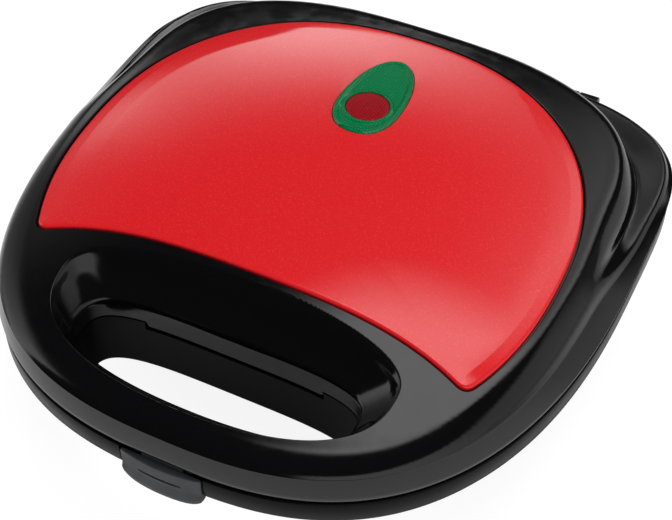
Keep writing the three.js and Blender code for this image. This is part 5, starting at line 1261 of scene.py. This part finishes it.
def lacquer():
    """Red base with flakes under a clear coat."""
    material = finish("red_metallic_lacquer", (0.63, 0.0085, 0.0125), (0.7, 0.011, 0.017), (0.4, 0.46),
                      (0.4, 10.0, 0.0006, 0.006), Coat_Weight=1.0, Coat_Roughness=0.05, Specular_IOR_Level=0.08)
    tree = material.node_tree
    shader = tree.nodes["Principled BSDF"]
    flakes = add_node(tree, "ShaderNodeGroup", node_tree=paint_flakes).outputs["Flakes"]
    bright = mixed(tree, calc(tree, "MULTIPLY", flakes, 0.6), source(shader, "Base Color"), (0.86, 0.05, 0.05, 1))
    feed(tree, shader, {"Base Color": bright, "Metallic": calc(tree, "MULTIPLY", flakes, 0.5)})
    return material


def lens(name, deep, clear, grid_depth, cell=0.0011):
    """A tinted lens with a fine moulded grid, and a clear gloss only where the rim tilts."""
    material = finish(name, deep, clear, (0.08, 0.14), (1.2, 8.0, 0.0004, 0.006), Coat_Roughness=0.06,
                      Specular_IOR_Level=0.04)
    tree = material.node_tree
    shader = tree.nodes["Principled BSDF"]
    place = add_node(tree, "ShaderNodeTexCoord").outputs
    spot, tilt = (add_node(tree, "ShaderNodeSeparateXYZ", {0: place[kind]}).outputs for kind in ("Object", "Normal"))
    waves = [calc(tree, "ABSOLUTE", calc(tree, "SINE", calc(tree, "MULTIPLY", spot[i], math.pi / cell)))
             for i in (0, 1)]
    dots = calc(tree, "MULTIPLY", *waves)
    bump = add_node(tree, "ShaderNodeBump",
                    {"Distance": grid_depth, "Height": dots, "Normal": source(shader, "Normal")})
    between = (*[c * 0.62 for c in deep], 1)
    feed(tree, shader, {
        "Base Color": mixed(tree, ramp(tree, dots, 0.1, 0.9), between, source(shader, "Base Color")),
        "Normal": bump.outputs[0], "Coat Weight": ramp(tree, tilt[2], 0.9, 0.975, 1.0, 0.06),
    })
    return material


red_lacquer = lacquer()
green_glass = lens("green_lens_plastic", (0.001, 0.19, 0.06), (0.002, 0.28, 0.09), 0.00008)
red_glass = lens("red_lens_plastic", (0.34, 0.008, 0.014), (0.46, 0.016, 0.024), 0.0002)
print("lacquer and lenses are ready")

# %% [markdown]
# ## Pieces onto their bodies
# Every new piece says which body it moves with and which imported nodes it stands for, and
# gets its finish. The imported nodes that stay get a finish by their slot.

# %% Join small pieces, give finishes and hand over
carved(lid, lid_knuckles + lugs, "UNION", 32.0)
carved(base, base_knuckles, "UNION", 32.0)


def hand_over(piece, body, slot, material, *nodes):
    piece.data.materials.clear()
    piece.data.materials.append(material)
    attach(piece, body)
    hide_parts(*nodes)


hand_over(lid, "lid", "housing", glossy_black, "lid_shell")
hand_over(panel, "lid", "panel", red_lacquer, "top_panel")
hand_over(green, "lid", "green_lens", green_glass, "ready_lens_green")
hand_over(red, "lid", "red_lens", red_glass, "power_lens_red")
hand_over(base, "base", "housing", satin_painted_shade_black, "base_shell")
hand_over(feet, "base", "rubber", black_rubber, *[f"foot_{c}" for c in CORNERS])
hand_over(base_screws, "base", "steel", zinc_steel, *[f"base_screw_{c}" for c in CORNERS])
hand_over(inlet, "base", "rubber", black_rubber, "cord_inlet_grommet")
hand_over(latch, "latch", "latch", satin_grey, "latch")

FINISH_BY_SLOT = {
    "housing": glossy_black, "inner_frame": grained_black, "plate": coated_plate, "element": heater_tube,
    "sheet": bright_sheet, "rubber": black_rubber, "lamp": lamp_glass, "heatproof": heat_proof,
    "wire": wire_sleeve, "steel": zinc_steel, "panel": red_lacquer, "green_lens": green_glass,
    "red_lens": red_glass, "latch": satin_grey,
}
for node in frame["nodes"].values():
    if not node.hide_render:
        kind = node.data.materials[0].name
        node.data.materials[0] = FINISH_BY_SLOT[kind]
print("packed nodes that still show:", sum(not node.hide_render for node in frame["nodes"].values()))

# %% [markdown]
# ## Studio
# The maker stands on a white sweep under soft light. A black glossy shell shows the room more
# than its own colour, so the room matters. A large card stands behind on the left, with a small
# one beside it, a strip stands behind on the right, a soft box hangs overhead and low screens
# stand at both sides, while the side of the camera is dark. Fill lamps that gloss can't see
# bring the level up to where a colour renders as it is written.

# %% Floor
FLOOR_REACH = 6.0
PAPER_SHADE = 0.2
FLOOR_GLOW = 0.88


def white_sweep():
    """A white floor that keeps a soft shadow and stays white to the camera; in reflections its glow is darkened by
    ambient occlusion next to the maker, a painted shadow.
    """
    mesh = bpy.data.meshes.new("floor")
    corners = [(a * FLOOR_REACH, b * FLOOR_REACH, 0) for a, b in ((-1, -1), (1, -1), (1, 1), (-1, 1))]
    mesh.from_pydata(corners, [], [(0, 1, 2, 3)])
    floor = placed("floor", mesh)
    material = bpy.data.materials.new("white_sweep")
    material.use_nodes = True
    tree = material.node_tree
    tree.nodes.clear()
    ray = add_node(tree, "ShaderNodeLightPath")
    open_sky = add_node(tree, "ShaderNodeAmbientOcclusion", {"Distance": 0.09})
    place = add_node(tree, "ShaderNodeTexCoord").outputs["Object"]
    away = add_node(tree, "ShaderNodeVectorMath", {0: place}, operation="LENGTH")
    bounced = calc(tree, "MAXIMUM", ray.outputs["Is Glossy Ray"], ray.outputs["Is Transmission Ray"])
    # painted shadow: the glow that reflections see is darkened by ambient occlusion next to the maker, and is
    # stronger within 0.2 m of the centre than beyond 0.5 m
    near = ramp(tree, away.outputs["Value"], 0.2, 0.5, 0.62, 0.3)
    mirrored = product(tree, ramp(tree, open_sky.outputs["AO"], 0.3, 0.95), near, bounced)
    seen = calc(tree, "MULTIPLY", ray.outputs["Is Camera Ray"], FLOOR_GLOW)
    glow = add_node(tree, "ShaderNodeEmission", {"Strength": calc(tree, "MAXIMUM", seen, mirrored)})
    paper = add_node(tree, "ShaderNodeBsdfDiffuse", {"Color": (PAPER_SHADE, PAPER_SHADE, PAPER_SHADE, 1)})
    both = add_node(tree, "ShaderNodeAddShader", {0: paper.outputs[0], 1: glow.outputs[0]})
    add_node(tree, "ShaderNodeOutputMaterial", {"Surface": both.outputs[0]})
    mesh.materials.append(material)


white_sweep()
print("floor is in place")

# %% Room light
ROOM_LEVEL = 0.8
DARK_LEVEL = 0.035


def gauss(tree, value, width):
    scaled = calc(tree, "DIVIDE", value, width)
    return calc(tree, "EXPONENT", product(tree, scaled, scaled, -1.0))


def direction(azimuth, elevation):
    """A unit direction from an azimuth, counted from the rear towards the right, and a height."""
    a, e = math.radians(azimuth), math.radians(elevation)
    return Vector((math.sin(a) * math.cos(e), math.cos(a) * math.cos(e), math.sin(e)))


def room_light():
    """Soft lights drawn on the sky by direction, for gloss to mirror, and plain white for the camera."""
    world = bpy.data.worlds.new("studio")
    bpy.context.scene.world = world
    world.use_nodes = True
    tree = world.node_tree
    tree.nodes.clear()
    way = add_node(tree, "ShaderNodeTexCoord").outputs["Generated"]
    x, y, z = add_node(tree, "ShaderNodeSeparateXYZ", {0: way}).outputs
    degree = 180 / math.pi
    # the azimuth is counted from the rear towards the right
    azimuth = calc(tree, "MULTIPLY", calc(tree, "ARCTAN2", x, y), degree)
    height = calc(tree, "MULTIPLY", calc(tree, "ARCSINE", z), degree)

    aside = calc(tree, "ADD", azimuth, 27.0)
    lower_edge = calc(tree, "ADD", product(tree, aside, aside, 0.0184), 24.0)
    above = calc(tree, "SUBTRACT", height, lower_edge)
    card = product(tree, gauss(tree, aside, 13.5), gauss(tree, above, 8.5), ramp(tree, above, -0.3, 0.3), 4.4)
    small_card = product(tree, gauss(tree, calc(tree, "ADD", azimuth, 49.0), 7.0),
                         gauss(tree, calc(tree, "SUBTRACT", height, 31.0), 6.0), 2.0)
    strip = product(tree, gauss(tree, calc(tree, "SUBTRACT", azimuth, 14.0), 14.0),
                    ramp(tree, height, 24.0, 32.0, 0.0, 2.0), ramp(tree, height, 62.0, 68.0, 1.0, 0.0))

    box = add_node(tree, "ShaderNodeVectorMath", {0: way, 1: direction(-10, 71)}, operation="DOT_PRODUCT")
    off_axis = calc(tree, "MULTIPLY", calc(tree, "ARCCOSINE", box.outputs["Value"]), degree)
    overhead = ramp(tree, off_axis, 6.0, 15.0, 3.4, 0.0)

    low = ramp(tree, height, 38.0, 50.0, 1.0, 0.0)
    left_screen = product(tree, ramp(tree, azimuth, -118.0, -114.0), ramp(tree, azimuth, -112.0, -70.0, 1.7, 0.35),
                          ramp(tree, azimuth, -62.0, -48.0, 1.0, 0.0), low)
    right_screen = product(tree, ramp(tree, azimuth, 36.0, 60.0), ramp(tree, azimuth, 80.0, 130.0, 0.75, 1.25),
                           ramp(tree, azimuth, 160.0, 172.0, 1.0, 0.0), low)
    room = DARK_LEVEL
    for light in (card, small_card, strip, overhead, left_screen, right_screen):
        room = calc(tree, "ADD", light, room)
    room = calc(tree, "MULTIPLY", room, ROOM_LEVEL)

    ray = add_node(tree, "ShaderNodeLightPath")
    direct = calc(tree, "MAXIMUM", ray.outputs["Is Camera Ray"], ray.outputs["Is Transmission Ray"])
    strength = add_node(tree, "ShaderNodeMix", {0: direct, 2: room, 3: 1.0}, data_type="FLOAT")
    background = add_node(tree, "ShaderNodeBackground", {"Color": (1, 1, 1, 1), "Strength": strength.outputs[0]})
    add_node(tree, "ShaderNodeOutputWorld", {"Surface": background.outputs[0]})


def fill_lamp(name, place, size, power):
    """A large soft lamp aimed at the maker, which gloss does not mirror."""
    lamp = bpy.data.lights.new(name, "AREA")
    lamp.size, lamp.energy = size, power
    holder = placed(name, lamp)
    holder.location = place
    holder.rotation_euler = (Vector((0, 0, 0.04)) - Vector(place)).to_track_quat("-Z", "Y").to_euler()
    holder.visible_glossy = False


room_light()
fill_lamp("overhead_fill", (0.1, 0.2, 1.5), 1.4, 13.0)
fill_lamp("front_fill", (-0.5, -1.3, 0.9), 1.2, 7.0)
fill_lamp("right_fill", (1.2, -0.2, 0.8), 1.0, 6.0)
print("lamps:", len(bpy.data.lights))

# %% [markdown]
# ## Camera
# The camera looks down from the front right, a little over half a metre away, with a long
# lens. Its place was solved from the outline of the maker in the picture.

# %% Camera at the picture's angle
AIM = Vector((0.007, 0.00055, 0.04))
camera = placed("camera", bpy.data.cameras.new("camera"))
camera.data.lens = 80.3
camera.data.sensor_width = 36.0
camera.location = (0.1791, -0.3476, 0.4668)
camera.rotation_euler = (AIM - camera.location).to_track_quat("-Z", "Y").to_euler()
bpy.context.scene.camera = camera
bpy.context.scene.view_settings.view_transform = "Standard"
print("camera distance:", round((camera.location - AIM).length, 3), "m")
